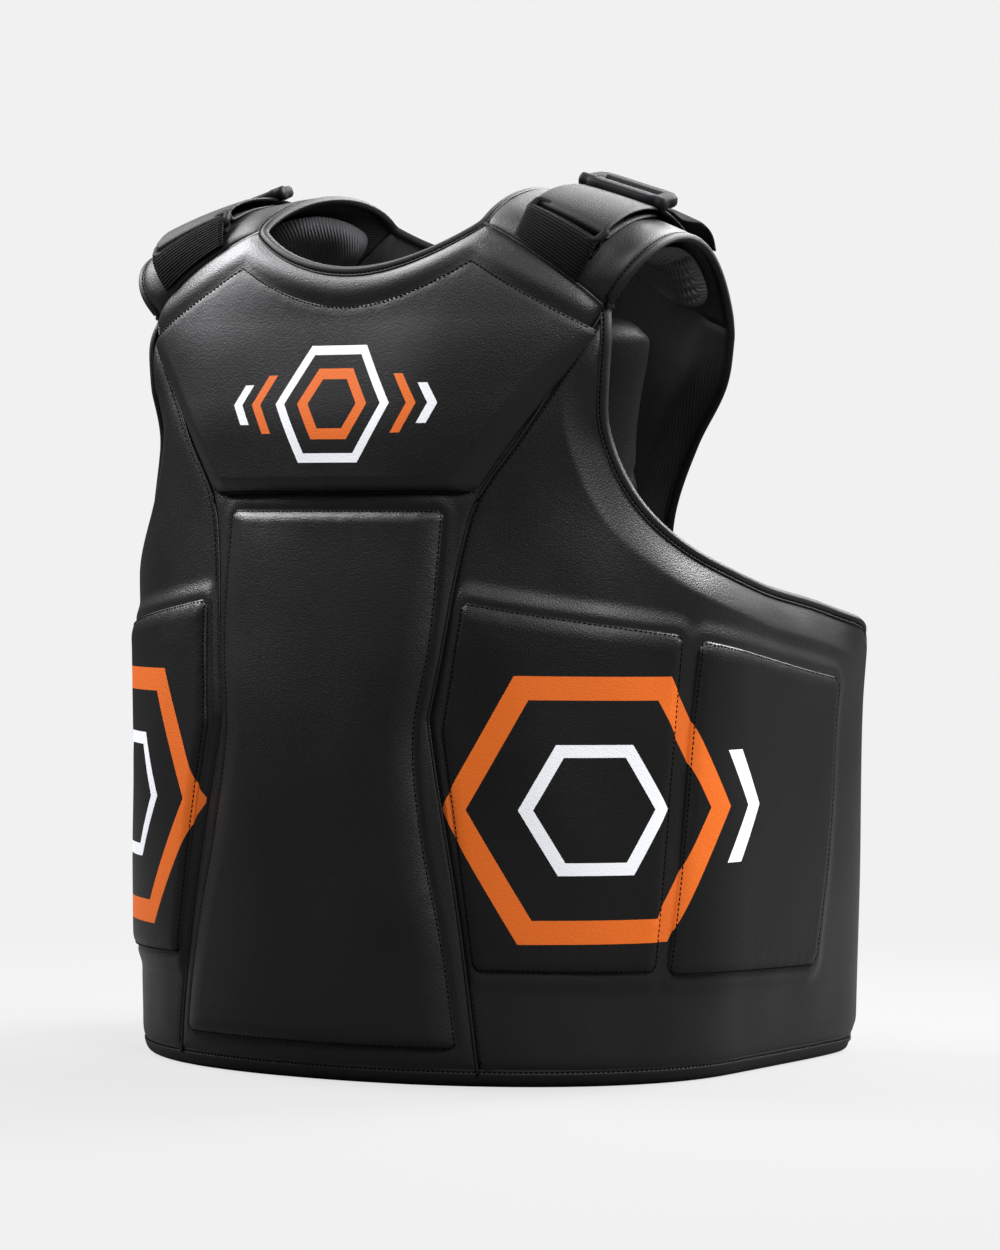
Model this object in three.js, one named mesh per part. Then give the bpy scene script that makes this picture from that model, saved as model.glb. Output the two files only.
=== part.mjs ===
// Body protector for coaching in striking sports: a padded shell round the chest, belly and ribs that
// hangs on two padded shoulder yokes and is belted across an open back.
// Millimetres, +Z up, the front towards -Y and the wearer's left towards +X. It stands on its hem.
import * as THREE from "three";
import { ParametricGeometry } from "three/addons/geometries/ParametricGeometry.js";
import { mergeGeometries, mergeVertices } from "three/addons/utils/BufferGeometryUtils.js";

// Clearances
const GAP = 0.4; // between edges that are sewn together
const SEAT = 1.4; // between a pad's back and the curved face that it lies on
const SEAM_GAP_ANGLE = 0.16; // half of the gap at the column seam, in degrees
const WELD = 1e-3; // corners of two faces closer than this are one corner

// Walls
const WALL = 24; // padded wall of the shell
const EDGE_WALL = 10; // the same wall at the neck, the yoke seams and the armholes
const EDGE_TAPER = 45; // width over which the wall thins to its edge
const HEM = { bottom: -3, top: 3 }; // binding that the shell stands on
const BINDING = { gap: 0.6, rim: 1.25, height: 5 }; // rolled binding: how far it stands off its edge

// Outer face of the shell: one ring for each level, as a superellipse that is open at the back
const RINGS = [
  { level: 0, halfWidth: 219, frontDepth: 170, squareness: 2.15 },
  { level: 40, halfWidth: 219, frontDepth: 170, squareness: 2.15 },
  { level: 120, halfWidth: 221, frontDepth: 167, squareness: 2.15 },
  { level: 228, halfWidth: 223, frontDepth: 160, squareness: 2.15 },
  { level: 300, halfWidth: 229, frontDepth: 150, squareness: 2.2 },
  { level: 365, halfWidth: 228, frontDepth: 140, squareness: 2.3 },
  { level: 430, halfWidth: 222, frontDepth: 133, squareness: 2.6 },
  { level: 480, halfWidth: 218, frontDepth: 127, squareness: 2.95 },
  { level: 520, halfWidth: 206, frontDepth: 118, squareness: 2.85 },
  { level: 560, halfWidth: 193, frontDepth: 92, squareness: 2.8 },
];
const AXIS_BACK = 2.8; // the rings' axis lies this far behind the middle of the protector
const WING_DEPTH = 225;
const WING_SQUARENESS = 6;

// Lines on the outer face: the angle from the middle of the front, in degrees, and the level
const SHOULDER_CORNER = { angle: 62, level: 489 }; // armhole, yoke seam and column seam meet here
const COLUMN_SEAM = [
  { level: 0, angle: 38.4 },
  { level: 110, angle: 34.4 },
  { level: 177, angle: 30.2 },
  { level: 228, angle: 28.2 },
  { level: 275, angle: 31.3 },
  { level: 338, angle: 35.5 },
  { level: 367, angle: 38.7 },
  { level: 405, angle: 47 },
  { level: 489, angle: 62 },
];
const ARMHOLE = [
  { share: 0, angle: 62, level: 489 },
  { share: 0.12, angle: 61.4, level: 444 },
  { share: 0.21, angle: 61.7, level: 412 },
  { share: 0.34, angle: 67, level: 368 },
  { share: 0.48, angle: 77, level: 336 },
  { share: 0.66, angle: 95, level: 313 },
  { share: 0.88, angle: 116.5, level: 296 },
  { share: 1, angle: 127.5, level: 281 },
];
const ARMHOLE_STEPS = 60;
const WING_END = { angle: 127.5, bulge: 2, squareness: 4 };
const NECK_SHARE = 2 / 3; // share of the front panel's top edge that is neckline
const NECK_DIP = 516;
const NECK_POINT = 545;
const YOKE_SEAM_BEND = 1.4;
const BEVEL = { width: 24, drop: 9, fadeFrom: 400, fadeTo: 455 }; // slope of the wall to the armhole
const MM_PER_DEGREE = 3.7; // near the armhole, for distances on the outer face

// Back panel: outer face by level, and the shape of its cut
const SPINE = [
  { level: 60, depth: 160, halfWidth: 240 },
  { level: 200, depth: 160, halfWidth: 240 },
  { level: 300, depth: 150, halfWidth: 240 },
  { level: 400, depth: 118, halfWidth: 240 },
  { level: 480, depth: 80, halfWidth: 240 },
  { level: 530, depth: 58, halfWidth: 240 },
  { level: 565, depth: 40, halfWidth: 240 },
];
const SPINE_SQUARENESS = 2;
const BACK_HEM = 60;
const BACK_WALL = 14;
const BACK_CORNER = { halfWidth: 188, level: 478 };
const BACK_NECK_SHARE = 0.4; // share of the back panel's top edge that is neckline
const BACK_NECK = { halfWidth: BACK_CORNER.halfWidth * BACK_NECK_SHARE, level: 553, dip: 530 };
const BACK_CUT = [
  { share: 0, halfWidth: 96 },
  { share: 0.4, halfWidth: 84 },
  { share: 0.7, halfWidth: 96 },
  { share: 0.87, halfWidth: 142 },
  { share: 1, halfWidth: 188 },
];

// Shoulder yokes: arcs from the front seam over the shoulder to the back seam, with the handles that
// bend each arc given as steps outwards, backwards and upwards from its two ends
const YOKE_ARCS = [
  { share: 0, frontOut: -2, frontBack: 36, frontUp: 28, backOut: 4, backBack: -32, backUp: 30 },
  { share: 1, frontOut: 46, frontBack: -8, frontUp: 58, backOut: 4, backBack: -28, backUp: 84 },
];
const SEAM_END = 0.01; // share of an arc in which the yoke's rim follows the panel at the seam
const CUSHION = {
  seat: 1.8,
  thickness: 14,
  rim: 0.35,
  neckShare: 0.12,
  armShare: 0.94,
  from: 0.36,
  to: 0.97,
};

// Raised pads: height over the face and the border that slopes down to the rim
const PAD_RIM = 3;
const PAD_BORDER = 14;
const CHEST_PAD = { height: 13, dip: 492, apex: 521, apexShare: 2 / 3, corner: 480, bottom: 371 };
const CHEST_PAD_ANGLES = { bottom: 33.5, corner: 57.2 };
const BELLY_PAD_HEIGHT = 10;
const BELLY_PAD = [
  { level: 20, angle: 34.7 },
  { level: 83, angle: 32 },
  { level: 160, angle: 27.2 },
  { level: 218, angle: 25.6 },
  { level: 276, angle: 29 },
  { level: 361, angle: 31.7 },
];
const RIB_PAD_HEIGHT = 7;
const FRONT_RIB_PAD = [
  { share: 0, near: 37.4, far: 69.7, nearLevel: 70, farLevel: 68 },
  { share: 0.4, near: 34, far: 71.8, nearLevel: 163, farLevel: 153 },
  { share: 0.72, near: 31.4, far: 73.4, nearLevel: 238, farLevel: 221 },
  { share: 1, near: 35.6, far: 74.2, nearLevel: 303, farLevel: 282 },
];
const SIDE_RIB_PAD = [
  { share: 0, near: 71.8, far: 113.8, nearLevel: 66, farLevel: 60 },
  { share: 0.5, near: 75, far: 117.4, nearLevel: 173, farLevel: 160 },
  { share: 1, near: 77.2, far: 118.5, nearLevel: 279, farLevel: 250 },
];
const INNER_PAD = { halfAngle: 62, bottom: 350, top: 489, depth: 46, rim: 30, border: 0.14 };

// Shoulder straps, laid on the yokes: shares across the yoke and along its arc
const STRAP = { neckSide: 0.33, armSide: 0.8, thickness: 2.2 };
const STRAP_PARTS = {
  anchor: [
    { along: 0.01, lift: 0.9 },
    { along: 0.12, lift: 4 },
    { along: 0.235, lift: 9.8 },
    { along: 0.27, lift: 9.8 },
  ],
  strap: [
    { along: 0.31, lift: 9.8 },
    { along: 0.4, lift: 7 },
    { along: 0.7, lift: 3 },
    { along: 0.99, lift: 0.9 },
  ],
  tail: [
    { along: 0.655, lift: 6 },
    { along: 0.74, lift: 9 },
    { along: 0.83, lift: 15 },
  ],
};
const LOOP = { along: 0.285, lift: 3.6, width: 64, length: 25, bar: 5, corner: 6, thickness: 5 };
const SLIDE = { along: 0.56, lift: 10.2, width: 66, length: 36, bar: 6, corner: 7.2, thickness: 6 };

// Closing belts across the back
const BELT = { thickness: 2.4, height: 70, lap: 45, lapStep: 4, startDepth: 100, centreDepth: 161.2 };
const BELT_HANDLES = { wing: 62, back: 150 };
const BELTS = [
  { word: "upper", level: 190, halfWidth: 194.6 },
  { word: "lower", level: 80, halfWidth: 193 },
];

// Facets: columns and rows of each surface
const FACETS = {
  front: [18, 16],
  side: [14, 16],
  back: [10, 12],
  yoke: [3, 10],
  cushion: [4, 6],
  chest: [12, 7],
  belly: [8, 9],
  rib: [7, 7],
  inner: [12, 5],
  strap: [3, 6],
  belt: [12, 1],
};
const BINDING_ROWS = 3;
const CORNER_FACETS = 3;

// Finishes
const FINISHES = {
  leather: { color: 0x1c1c1f, roughness: 0.45, metalness: 0 },
  binding: { color: 0x151517, roughness: 0.5, metalness: 0 },
  lining: { color: 0x17171a, roughness: 0.85, metalness: 0 },
  webbing: { color: 0x101012, roughness: 0.9, metalness: 0 },
  plastic: { color: 0x0e0e10, roughness: 0.4, metalness: 0 },
};

const lerp = THREE.MathUtils.lerp;
const rise = (x, from, to) => THREE.MathUtils.smoothstep(x, from, to);

// A smooth curve through a table's rows: gives the other columns for a value of the key column.
function through(rows, key) {
  const names = Object.keys(rows[0]).filter((name) => name !== key);
  const keys = rows.map((row) => row[key]);
  const values = rows.flatMap((row) => names.map((name) => row[name]));
  const curve = new THREE.CubicInterpolant(keys, values, names.length);
  return (at) => {
    const found = curve.evaluate(at);
    return Object.fromEntries(names.map((name, i) => [name, found[i]]));
  };
}

// The outward normal of a surface of two parameters, and a point that stands off it.
function normalOf(surface, u, v) {
  const step = 0.01;
  const across = surface(u + step, v).sub(surface(u - step, v));
  const up = surface(u, v + step).sub(surface(u, v - step));
  return across.cross(up).normalize();
}

function raised(surface, u, v, height) {
  return surface(u, v).addScaledVector(normalOf(surface, u, v), height);
}

// A closed wall between two faces over the same grid. A ring's two ends meet, so it has no end rims.
function wall(outer, inner, [columns, rows], ring = false) {
  const sheet = (at, slices, stacks) =>
    new ParametricGeometry((u, v, point) => point.copy(at(u, v)), slices, stacks);
  const either = (first, second, share) => (share < 0.5 ? first : second);
  const sheets = [
    sheet(outer, columns, rows),
    sheet((u, v) => inner(1 - u, v), columns, rows),
    sheet((u, w) => either(inner, outer, w)(u, 0), columns, 1),
    sheet((u, w) => either(outer, inner, w)(u, 1), columns, 1),
  ];
  if (!ring) {
    sheets.push(sheet((w, v) => either(inner, outer, w)(0, v), 1, rows));
    sheets.push(sheet((w, v) => either(outer, inner, w)(1, v), 1, rows));
  }
  const joined = mergeGeometries(sheets);
  joined.deleteAttribute("normal");
  joined.deleteAttribute("uv");
  const closed = mergeVertices(joined, WELD);
  closed.computeVertexNormals();
  return closed;
}

// The same piece for the wearer's right side.
function mirrored(geometry) {
  const other = geometry.clone().scale(-1, 1, 1);
  const corners = other.index.array;
  for (let i = 0; i < corners.length; i += 3) {
    [corners[i], corners[i + 1]] = [corners[i + 1], corners[i]];
  }
  other.computeVertexNormals();
  return other;
}

const mirrorPoint = (point) => new THREE.Vector3(-point.x, point.y, point.z);

const protector = new THREE.Group();

function add(name, geometry, finish) {
  const mesh = new THREE.Mesh(geometry, new THREE.MeshStandardMaterial(FINISHES[finish]));
  mesh.name = name;
  protector.add(mesh);
  return mesh;
}

function addPair(name, geometry, finish) {
  add(`${name}_left`, geometry, finish);
  add(`${name}_right`, mirrored(geometry), finish);
}

// Outer face of the shell
const ringAt = through(RINGS, "level");

function torso(angle, level) {
  const { halfWidth, frontDepth, squareness } = ringAt(level);
  const turn = THREE.MathUtils.degToRad(angle);
  const inFront = Math.cos(turn) > 0;
  const power = inFront ? squareness : WING_SQUARENESS;
  const across = Math.abs(Math.sin(turn)) / halfWidth;
  const along = Math.abs(Math.cos(turn)) / (inFront ? frontDepth : WING_DEPTH);
  const radius = (across ** power + along ** power) ** (-1 / power);
  return new THREE.Vector3(radius * Math.sin(turn), -radius * Math.cos(turn), level);
}

const onTorso = ([angle, level], height) => raised(torso, angle, level, height);

// Front panel: hem to neckline and yoke seams, between the two column seams
const seamAt = through(COLUMN_SEAM, "level");
const SHELL_BOTTOM = HEM.top + GAP;

function yokeSeam(share) {
  const angle = lerp(SHOULDER_CORNER.angle * NECK_SHARE, SHOULDER_CORNER.angle, share);
  const drop = (NECK_POINT - SHOULDER_CORNER.level) * Math.abs(share) ** YOKE_SEAM_BEND;
  return [angle, NECK_POINT - drop];
}

function frontTop(side) {
  const share = Math.abs(side);
  if (share < NECK_SHARE) {
    return NECK_DIP + (NECK_POINT - NECK_DIP) * (share / NECK_SHARE) ** 2;
  }
  return yokeSeam((share - NECK_SHARE) / (1 - NECK_SHARE))[1];
}

function frontPatch(u, v) {
  const side = 2 * u - 1;
  const edgeLevel = lerp(SHELL_BOTTOM, SHOULDER_CORNER.level, v);
  const angle = side * (seamAt(edgeLevel).angle - SEAM_GAP_ANGLE);
  return [angle, lerp(SHELL_BOTTOM, frontTop(side), v)];
}

function frontInside(u, v) {
  const toTop = (1 - v) * (frontTop(2 * u - 1) - SHELL_BOTTOM);
  return lerp(-EDGE_WALL, -WALL, rise(toTop, 0, EDGE_TAPER));
}

const front = {
  outer: (u, v) => onTorso(frontPatch(u, v), 0),
  inner: (u, v) => onTorso(frontPatch(u, v), frontInside(u, v)),
};
add("front_panel", wall(front.outer, front.inner, FACETS.front), "leather");

// Side panels: a patch blended between the column seam, the armhole, the wing's end and the hem
const armholeAt = through(ARMHOLE, "share");

function sidePatch(u, v) {
  const seamLevel = lerp(SHELL_BOTTOM, SHOULDER_CORNER.level, v);
  const seam = [seamAt(seamLevel).angle + SEAM_GAP_ANGLE, seamLevel];
  const { angle, level } = armholeAt(u);
  const armhole = [angle + SEAM_GAP_ANGLE, level];
  const wingTop = armholeAt(1);
  const wingAngle = WING_END.angle + WING_END.bulge * (1 - (2 * v - 1) ** WING_END.squareness);
  const wing = [wingAngle + SEAM_GAP_ANGLE, lerp(SHELL_BOTTOM, wingTop.level, v)];
  const hemStart = seamAt(SHELL_BOTTOM).angle + SEAM_GAP_ANGLE;
  const hem = [lerp(hemStart, WING_END.angle + SEAM_GAP_ANGLE, u), SHELL_BOTTOM];
  const corners = [
    [hemStart, WING_END.angle + SEAM_GAP_ANGLE],
    [SHELL_BOTTOM, SHELL_BOTTOM],
    [SHOULDER_CORNER.angle + SEAM_GAP_ANGLE, wingTop.angle + SEAM_GAP_ANGLE],
    [SHOULDER_CORNER.level, wingTop.level],
  ];
  return [0, 1].map((k) => {
    const ruled = lerp(hem[k], armhole[k], v) + lerp(seam[k], wing[k], u);
    return ruled - lerp(lerp(...corners[k], u), lerp(...corners[k + 2], u), v);
  });
}

const armholePoints = Array.from({ length: ARMHOLE_STEPS + 1 }, (_, i) => armholeAt(i / ARMHOLE_STEPS));

function armholeDistance([angle, level]) {
  const away = (point) => Math.hypot((angle - point.angle) * MM_PER_DEGREE, level - point.level);
  return Math.min(...armholePoints.map(away));
}

function sideOutside(spot) {
  const fade = 1 - rise(spot[1], BEVEL.fadeFrom, BEVEL.fadeTo);
  return -BEVEL.drop * fade * (1 - rise(armholeDistance(spot), 0, BEVEL.width));
}

function sideInside(spot) {
  return sideOutside(spot) - lerp(EDGE_WALL, WALL, rise(armholeDistance(spot), 0, EDGE_TAPER));
}

const side = {
  outer: (u, v) => onTorso(sidePatch(u, v), sideOutside(sidePatch(u, v))),
  inner: (u, v) => onTorso(sidePatch(u, v), sideInside(sidePatch(u, v))),
};
addPair("side_panel", wall(side.outer, side.inner, FACETS.side), "leather");

// Back panel: from the yokes down to above the hem, cut narrow below the arms
const spineAt = through(SPINE, "level");
const backCutAt = through(BACK_CUT, "share");

function spine(across, level) {
  const { depth, halfWidth } = spineAt(level);
  const fall = (1 - (Math.abs(across) / halfWidth) ** SPINE_SQUARENESS) ** (1 / SPINE_SQUARENESS);
  return new THREE.Vector3(-across, depth * fall, level);
}

function backTop(across) {
  const width = Math.abs(across);
  if (width < BACK_NECK.halfWidth) {
    return BACK_NECK.dip + (BACK_NECK.level - BACK_NECK.dip) * (width / BACK_NECK.halfWidth) ** 2;
  }
  const share = (width - BACK_NECK.halfWidth) / (BACK_CORNER.halfWidth - BACK_NECK.halfWidth);
  return lerp(BACK_NECK.level, BACK_CORNER.level, share);
}

function backPatch(u, v) {
  const side = 2 * u - 1;
  const across = side * backCutAt(v).halfWidth;
  return [across, lerp(BACK_HEM, backTop(side * BACK_CORNER.halfWidth), v)];
}

function backInside(u, v) {
  const toTop = (1 - v) * (BACK_NECK.level - BACK_HEM);
  return lerp(-EDGE_WALL, -BACK_WALL, rise(toTop, 0, EDGE_TAPER));
}

const back = {
  outer: (u, v) => raised(spine, ...backPatch(u, v), 0),
  inner: (u, v) => raised(spine, ...backPatch(u, v), backInside(u, v)),
};
add("back_panel", wall(back.outer, back.inner, FACETS.back), "leather");

// Shoulder yokes: each arc is a cubic Bezier between the two seams
const arcAt = through(YOKE_ARCS, "share");

function backSeam(share) {
  const across = -lerp(BACK_NECK.halfWidth, BACK_CORNER.halfWidth, share);
  return [across, lerp(BACK_NECK.level, BACK_CORNER.level, share)];
}

function yoke(share, along) {
  const arc = arcAt(share);
  const [angle, level] = yokeSeam(share);
  const start = torso(angle, level + GAP);
  const [across, backLevel] = backSeam(share);
  const end = spine(across, backLevel + GAP);
  const lift = new THREE.Vector3(arc.frontOut, arc.frontBack, arc.frontUp).add(start);
  const land = new THREE.Vector3(arc.backOut, arc.backBack, arc.backUp).add(end);
  return new THREE.CubicBezierCurve3(start, lift, land, end).getPoint(along);
}

// Where a yoke is sewn on, its rim is square to the panel that it meets.
function yokeAcross(share, along) {
  if (along < SEAM_END) {
    return normalOf(torso, ...yokeSeam(share));
  }
  if (along > 1 - SEAM_END) {
    return normalOf(spine, ...backSeam(share));
  }
  return normalOf(yoke, share, along);
}

const yokeWall = {
  outer: (u, v) => yoke(u, v),
  inner: (u, v) => yoke(u, v).addScaledVector(yokeAcross(u, v), -EDGE_WALL),
};
addPair("yoke", wall(yokeWall.outer, yokeWall.inner, FACETS.yoke), "leather");

function cushionFace(u, v, thickness) {
  const share = lerp(CUSHION.neckShare, CUSHION.armShare, u);
  const along = lerp(CUSHION.from, CUSHION.to, v);
  return raised(yoke, share, along, -EDGE_WALL - CUSHION.seat - thickness);
}

function cushionUnderside(u, v) {
  const crown = 4 * u * (1 - u) * Math.sin(Math.PI * v);
  return cushionFace(u, v, CUSHION.thickness * lerp(CUSHION.rim, 1, crown));
}

const cushion = wall((u, v) => cushionFace(u, v, 0), cushionUnderside, FACETS.cushion);
addPair("yoke_cushion", cushion, "lining");

// Raised pads: the outer face slopes up from a low rim inside the outline
function spread(t, count, border) {
  const line = t * count;
  if (line < 1) {
    return line * border;
  }
  if (line > count - 1) {
    return 1 - (count - line) * border;
  }
  return border + ((line - 1) / (count - 2)) * (1 - 2 * border);
}

function padWall(patch, height, [columns, rows]) {
  const width = onTorso(patch(0, 0.5), 0).distanceTo(onTorso(patch(1, 0.5), 0));
  const tall = onTorso(patch(0.5, 0), 0).distanceTo(onTorso(patch(0.5, 1), 0));
  const borders = [PAD_BORDER / width, PAD_BORDER / tall];
  const spot = (u, v) => [spread(u, columns, borders[0]), spread(v, rows, borders[1])];
  const outer = (u, v) => {
    const [s, t] = spot(u, v);
    const inside = Math.min(Math.min(s, 1 - s) / borders[0], Math.min(t, 1 - t) / borders[1], 1);
    return onTorso(patch(s, t), SEAT + lerp(PAD_RIM, height, Math.max(inside, 0)));
  };
  const inner = (u, v) => onTorso(patch(...spot(u, v)), SEAT);
  return wall(outer, inner, [columns, rows]);
}

function chestTop(side) {
  const share = Math.abs(side);
  const { dip, apex, apexShare, corner } = CHEST_PAD;
  if (share < apexShare) {
    return dip + (apex - dip) * (share / apexShare) ** 2;
  }
  return lerp(apex, corner, (share - apexShare) / (1 - apexShare));
}

function chestPatch(u, v) {
  const side = 2 * u - 1;
  const angle = side * lerp(CHEST_PAD_ANGLES.bottom, CHEST_PAD_ANGLES.corner, v);
  return [angle, lerp(CHEST_PAD.bottom, chestTop(side), v)];
}

add("chest_pad", padWall(chestPatch, CHEST_PAD.height, FACETS.chest), "leather");

const bellyAt = through(BELLY_PAD, "level");

function bellyPatch(u, v) {
  const level = lerp(BELLY_PAD[0].level, BELLY_PAD.at(-1).level, v);
  return [(2 * u - 1) * bellyAt(level).angle, level];
}

add("belly_pad", padWall(bellyPatch, BELLY_PAD_HEIGHT, FACETS.belly), "leather");

function ribPatch(rows) {
  const at = through(rows, "share");
  return (u, v) => {
    const { near, far, nearLevel, farLevel } = at(v);
    return [lerp(near, far, u), lerp(nearLevel, farLevel, u)];
  };
}

const ribPad = (rows) => padWall(ribPatch(rows), RIB_PAD_HEIGHT, FACETS.rib);
addPair("front_rib_pad", ribPad(FRONT_RIB_PAD), "leather");
addPair("side_rib_pad", ribPad(SIDE_RIB_PAD), "leather");

// Inner chest pad: lies against the shell and stands back from it towards the chest
function innerPadFace(u, v, back) {
  const angle = lerp(-INNER_PAD.halfAngle, INNER_PAD.halfAngle, u);
  const level = lerp(INNER_PAD.bottom, INNER_PAD.top, v);
  const point = onTorso([angle, level], -WALL - SEAT);
  const inside = Math.min(u, 1 - u, v, 1 - v) / INNER_PAD.border;
  const depth = lerp(INNER_PAD.rim, INNER_PAD.depth, Math.min(inside, 1));
  point.y += back * depth;
  return point;
}

const innerPad = wall((u, v) => innerPadFace(u, v, 0), (u, v) => innerPadFace(u, v, 1), FACETS.inner);
add("inner_chest_pad", innerPad, "lining");

// Bindings: rolled along the rims of the panels, away from the panels
function rim(panel, count, place, change = (point) => point) {
  return Array.from({ length: count + 1 }, (_, i) => {
    const [u, v] = place(i / count);
    return { outside: change(panel.outer(u, v)), inside: change(panel.inner(u, v)) };
  });
}

function rolled(stations, ring) {
  const last = stations.length - 1;
  const middle = (i) => {
    const { outside, inside } = stations[ring ? (i + last) % last : THREE.MathUtils.clamp(i, 0, last)];
    return outside.clone().add(inside).multiplyScalar(0.5);
  };
  const face = (i, v, height) => {
    const { outside, inside } = stations[ring ? i % last : i];
    const travel = middle(i + 1).sub(middle(i - 1));
    const away = travel.cross(outside.clone().sub(inside)).normalize();
    return inside.clone().lerp(outside, v).addScaledVector(away, height);
  };
  const low = BINDING.gap + BINDING.rim;
  const outer = (u, v) => face(Math.round(u * last), v, lerp(low, BINDING.height, Math.sin(Math.PI * v)));
  const inner = (u, v) => face(Math.round(u * last), v, BINDING.gap);
  return wall(outer, inner, [last, BINDING_ROWS], ring);
}

const neckEdge = (1 - NECK_SHARE) / 2;
const backNeckEdge = (1 - BACK_NECK_SHARE) / 2;
const alongFrontNeck = (t) => [lerp(1 - neckEdge, neckEdge, t), 1];
const alongBackNeck = (t) => [lerp(1 - backNeckEdge, backNeckEdge, t), 1];
const neckStations = [
  ...rim(front, FACETS.front[0] * NECK_SHARE, alongFrontNeck),
  ...rim(yokeWall, FACETS.yoke[1], (t) => [0, t], mirrorPoint).slice(1),
  ...rim(back, FACETS.back[0] * BACK_NECK_SHARE, alongBackNeck).slice(1),
  ...rim(yokeWall, FACETS.yoke[1], (t) => [0, 1 - t]).slice(1),
];
add("neck_binding", rolled(neckStations, true), "binding");

const armholeStations = [
  ...rim(side, FACETS.side[0], (t) => [1 - t, 1]),
  ...rim(yokeWall, FACETS.yoke[1], (t) => [1, t]).slice(1),
  ...rim(back, FACETS.back[1], (t) => [0, 1 - t]).slice(1),
];
addPair("armhole_binding", rolled(armholeStations, false), "binding");

const hemStations = [
  ...rim(side, FACETS.side[0], (t) => [1 - t, 0], mirrorPoint),
  ...rim(front, FACETS.front[0], (t) => [t, 0]).slice(1),
  ...rim(side, FACETS.side[0], (t) => [t, 0]).slice(1),
];

function hemFace(u, v, level) {
  const { outside, inside } = hemStations[Math.round(u * (hemStations.length - 1))];
  return inside.clone().lerp(outside, v).setZ(level);
}

const hem = wall(
  (u, v) => hemFace(u, v, HEM.bottom),
  (u, v) => hemFace(u, v, HEM.top),
  [hemStations.length - 1, 1],
);
add("hem_binding", hem, "binding");

// Shoulder straps: bands laid over the yokes
function band(rows) {
  const liftAt = through(rows, "along");
  const face = (u, v, height) => {
    const along = lerp(rows[0].along, rows.at(-1).along, v);
    return raised(yoke, lerp(STRAP.neckSide, STRAP.armSide, u), along, liftAt(along).lift + height);
  };
  return wall((u, v) => face(u, v, STRAP.thickness), (u, v) => face(u, v, 0), FACETS.strap);
}

addPair("strap_anchor", band(STRAP_PARTS.anchor), "webbing");
addPair("shoulder_strap", band(STRAP_PARTS.strap), "leather");
addPair("strap_tail", band(STRAP_PARTS.tail), "leather");

// Loop and slide: flat frames with one window or two, lying in the yoke's slope
function roundedOutline(path, width, length, radius) {
  const x = width / 2;
  const y = length / 2;
  path.moveTo(x - radius, -y);
  path.absarc(x - radius, -y + radius, radius, -Math.PI / 2, 0);
  path.absarc(x - radius, y - radius, radius, 0, Math.PI / 2);
  path.absarc(-x + radius, y - radius, radius, Math.PI / 2, Math.PI);
  path.absarc(-x + radius, -y + radius, radius, Math.PI, 1.5 * Math.PI);
  path.closePath();
  return path;
}

function bars({ width, length, bar, corner, thickness }, windows) {
  const outline = roundedOutline(new THREE.Shape(), width, length, corner);
  const windowLength = (length - bar * (windows + 1)) / windows;
  const windowWidth = width - 2 * bar;
  for (let i = 0; i < windows; i += 1) {
    const middle = -length / 2 + bar + windowLength / 2 + i * (windowLength + bar);
    const x = windowWidth / 2;
    const y = windowLength / 2;
    const hole = new THREE.Path();
    hole.moveTo(-x, middle - y);
    hole.lineTo(-x, middle + y);
    hole.lineTo(x, middle + y);
    hole.lineTo(x, middle - y);
    hole.closePath();
    outline.holes.push(hole);
  }
  const settings = { depth: thickness, bevelEnabled: false, curveSegments: CORNER_FACETS };
  const frame = new THREE.ExtrudeGeometry(outline, settings);
  frame.translate(0, 0, -thickness / 2);
  return frame;
}

function addFrames(name, size, windows) {
  const across = (STRAP.neckSide + STRAP.armSide) / 2;
  const along = size.along;
  for (const [word, sign] of [["left", 1], ["right", -1]]) {
    const flip = (point) => (sign > 0 ? point : mirrorPoint(point));
    const middle = flip(raised(yoke, across, along, size.lift));
    const x = flip(yoke(STRAP.armSide, along)).sub(flip(yoke(STRAP.neckSide, along)));
    x.multiplyScalar(sign).normalize();
    const up = flip(raised(yoke, across, along, 1)).sub(flip(yoke(across, along)));
    const y = up.clone().cross(x).normalize();
    const z = x.clone().cross(y);
    const mesh = add(`${name}_${word}`, bars(size, windows), "plastic");
    mesh.position.copy(middle);
    mesh.quaternion.setFromRotationMatrix(new THREE.Matrix4().makeBasis(x, y, z));
  }
}

addFrames("strap_loop", LOOP, 1);
addFrames("strap_slide", SLIDE, 2);

// Belts: from inside each wing round the back, the left end lapped over the right
function belt({ level, halfWidth }, lapped) {
  const depth = BELT.centreDepth + lapped;
  const path = new THREE.CubicBezierCurve(
    new THREE.Vector2(halfWidth, BELT.startDepth),
    new THREE.Vector2(halfWidth, BELT.startDepth + BELT_HANDLES.wing),
    new THREE.Vector2(-BELT.lap + BELT_HANDLES.back, depth),
    new THREE.Vector2(-BELT.lap, depth),
  );
  const face = (u, v, height) => {
    const spot = path.getPoint(u);
    const run = path.getTangent(u);
    const x = spot.x + run.y * height;
    const y = spot.y - run.x * height;
    return new THREE.Vector3(x, y, level + v * BELT.height);
  };
  return wall((u, v) => face(u, v, BELT.thickness), (u, v) => face(u, v, 0), FACETS.belt);
}

for (const row of BELTS) {
  add(`belt_${row.word}_left`, belt(row, BELT.lapStep), "webbing");
  add(`belt_${row.word}_right`, mirrored(belt(row, 0)), "webbing");
}

// The origin lies on the floor under the middle of the whole protector.
protector.position.set(0, AXIS_BACK, -HEM.bottom);
protector.updateMatrixWorld(true);

export default protector;
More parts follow.
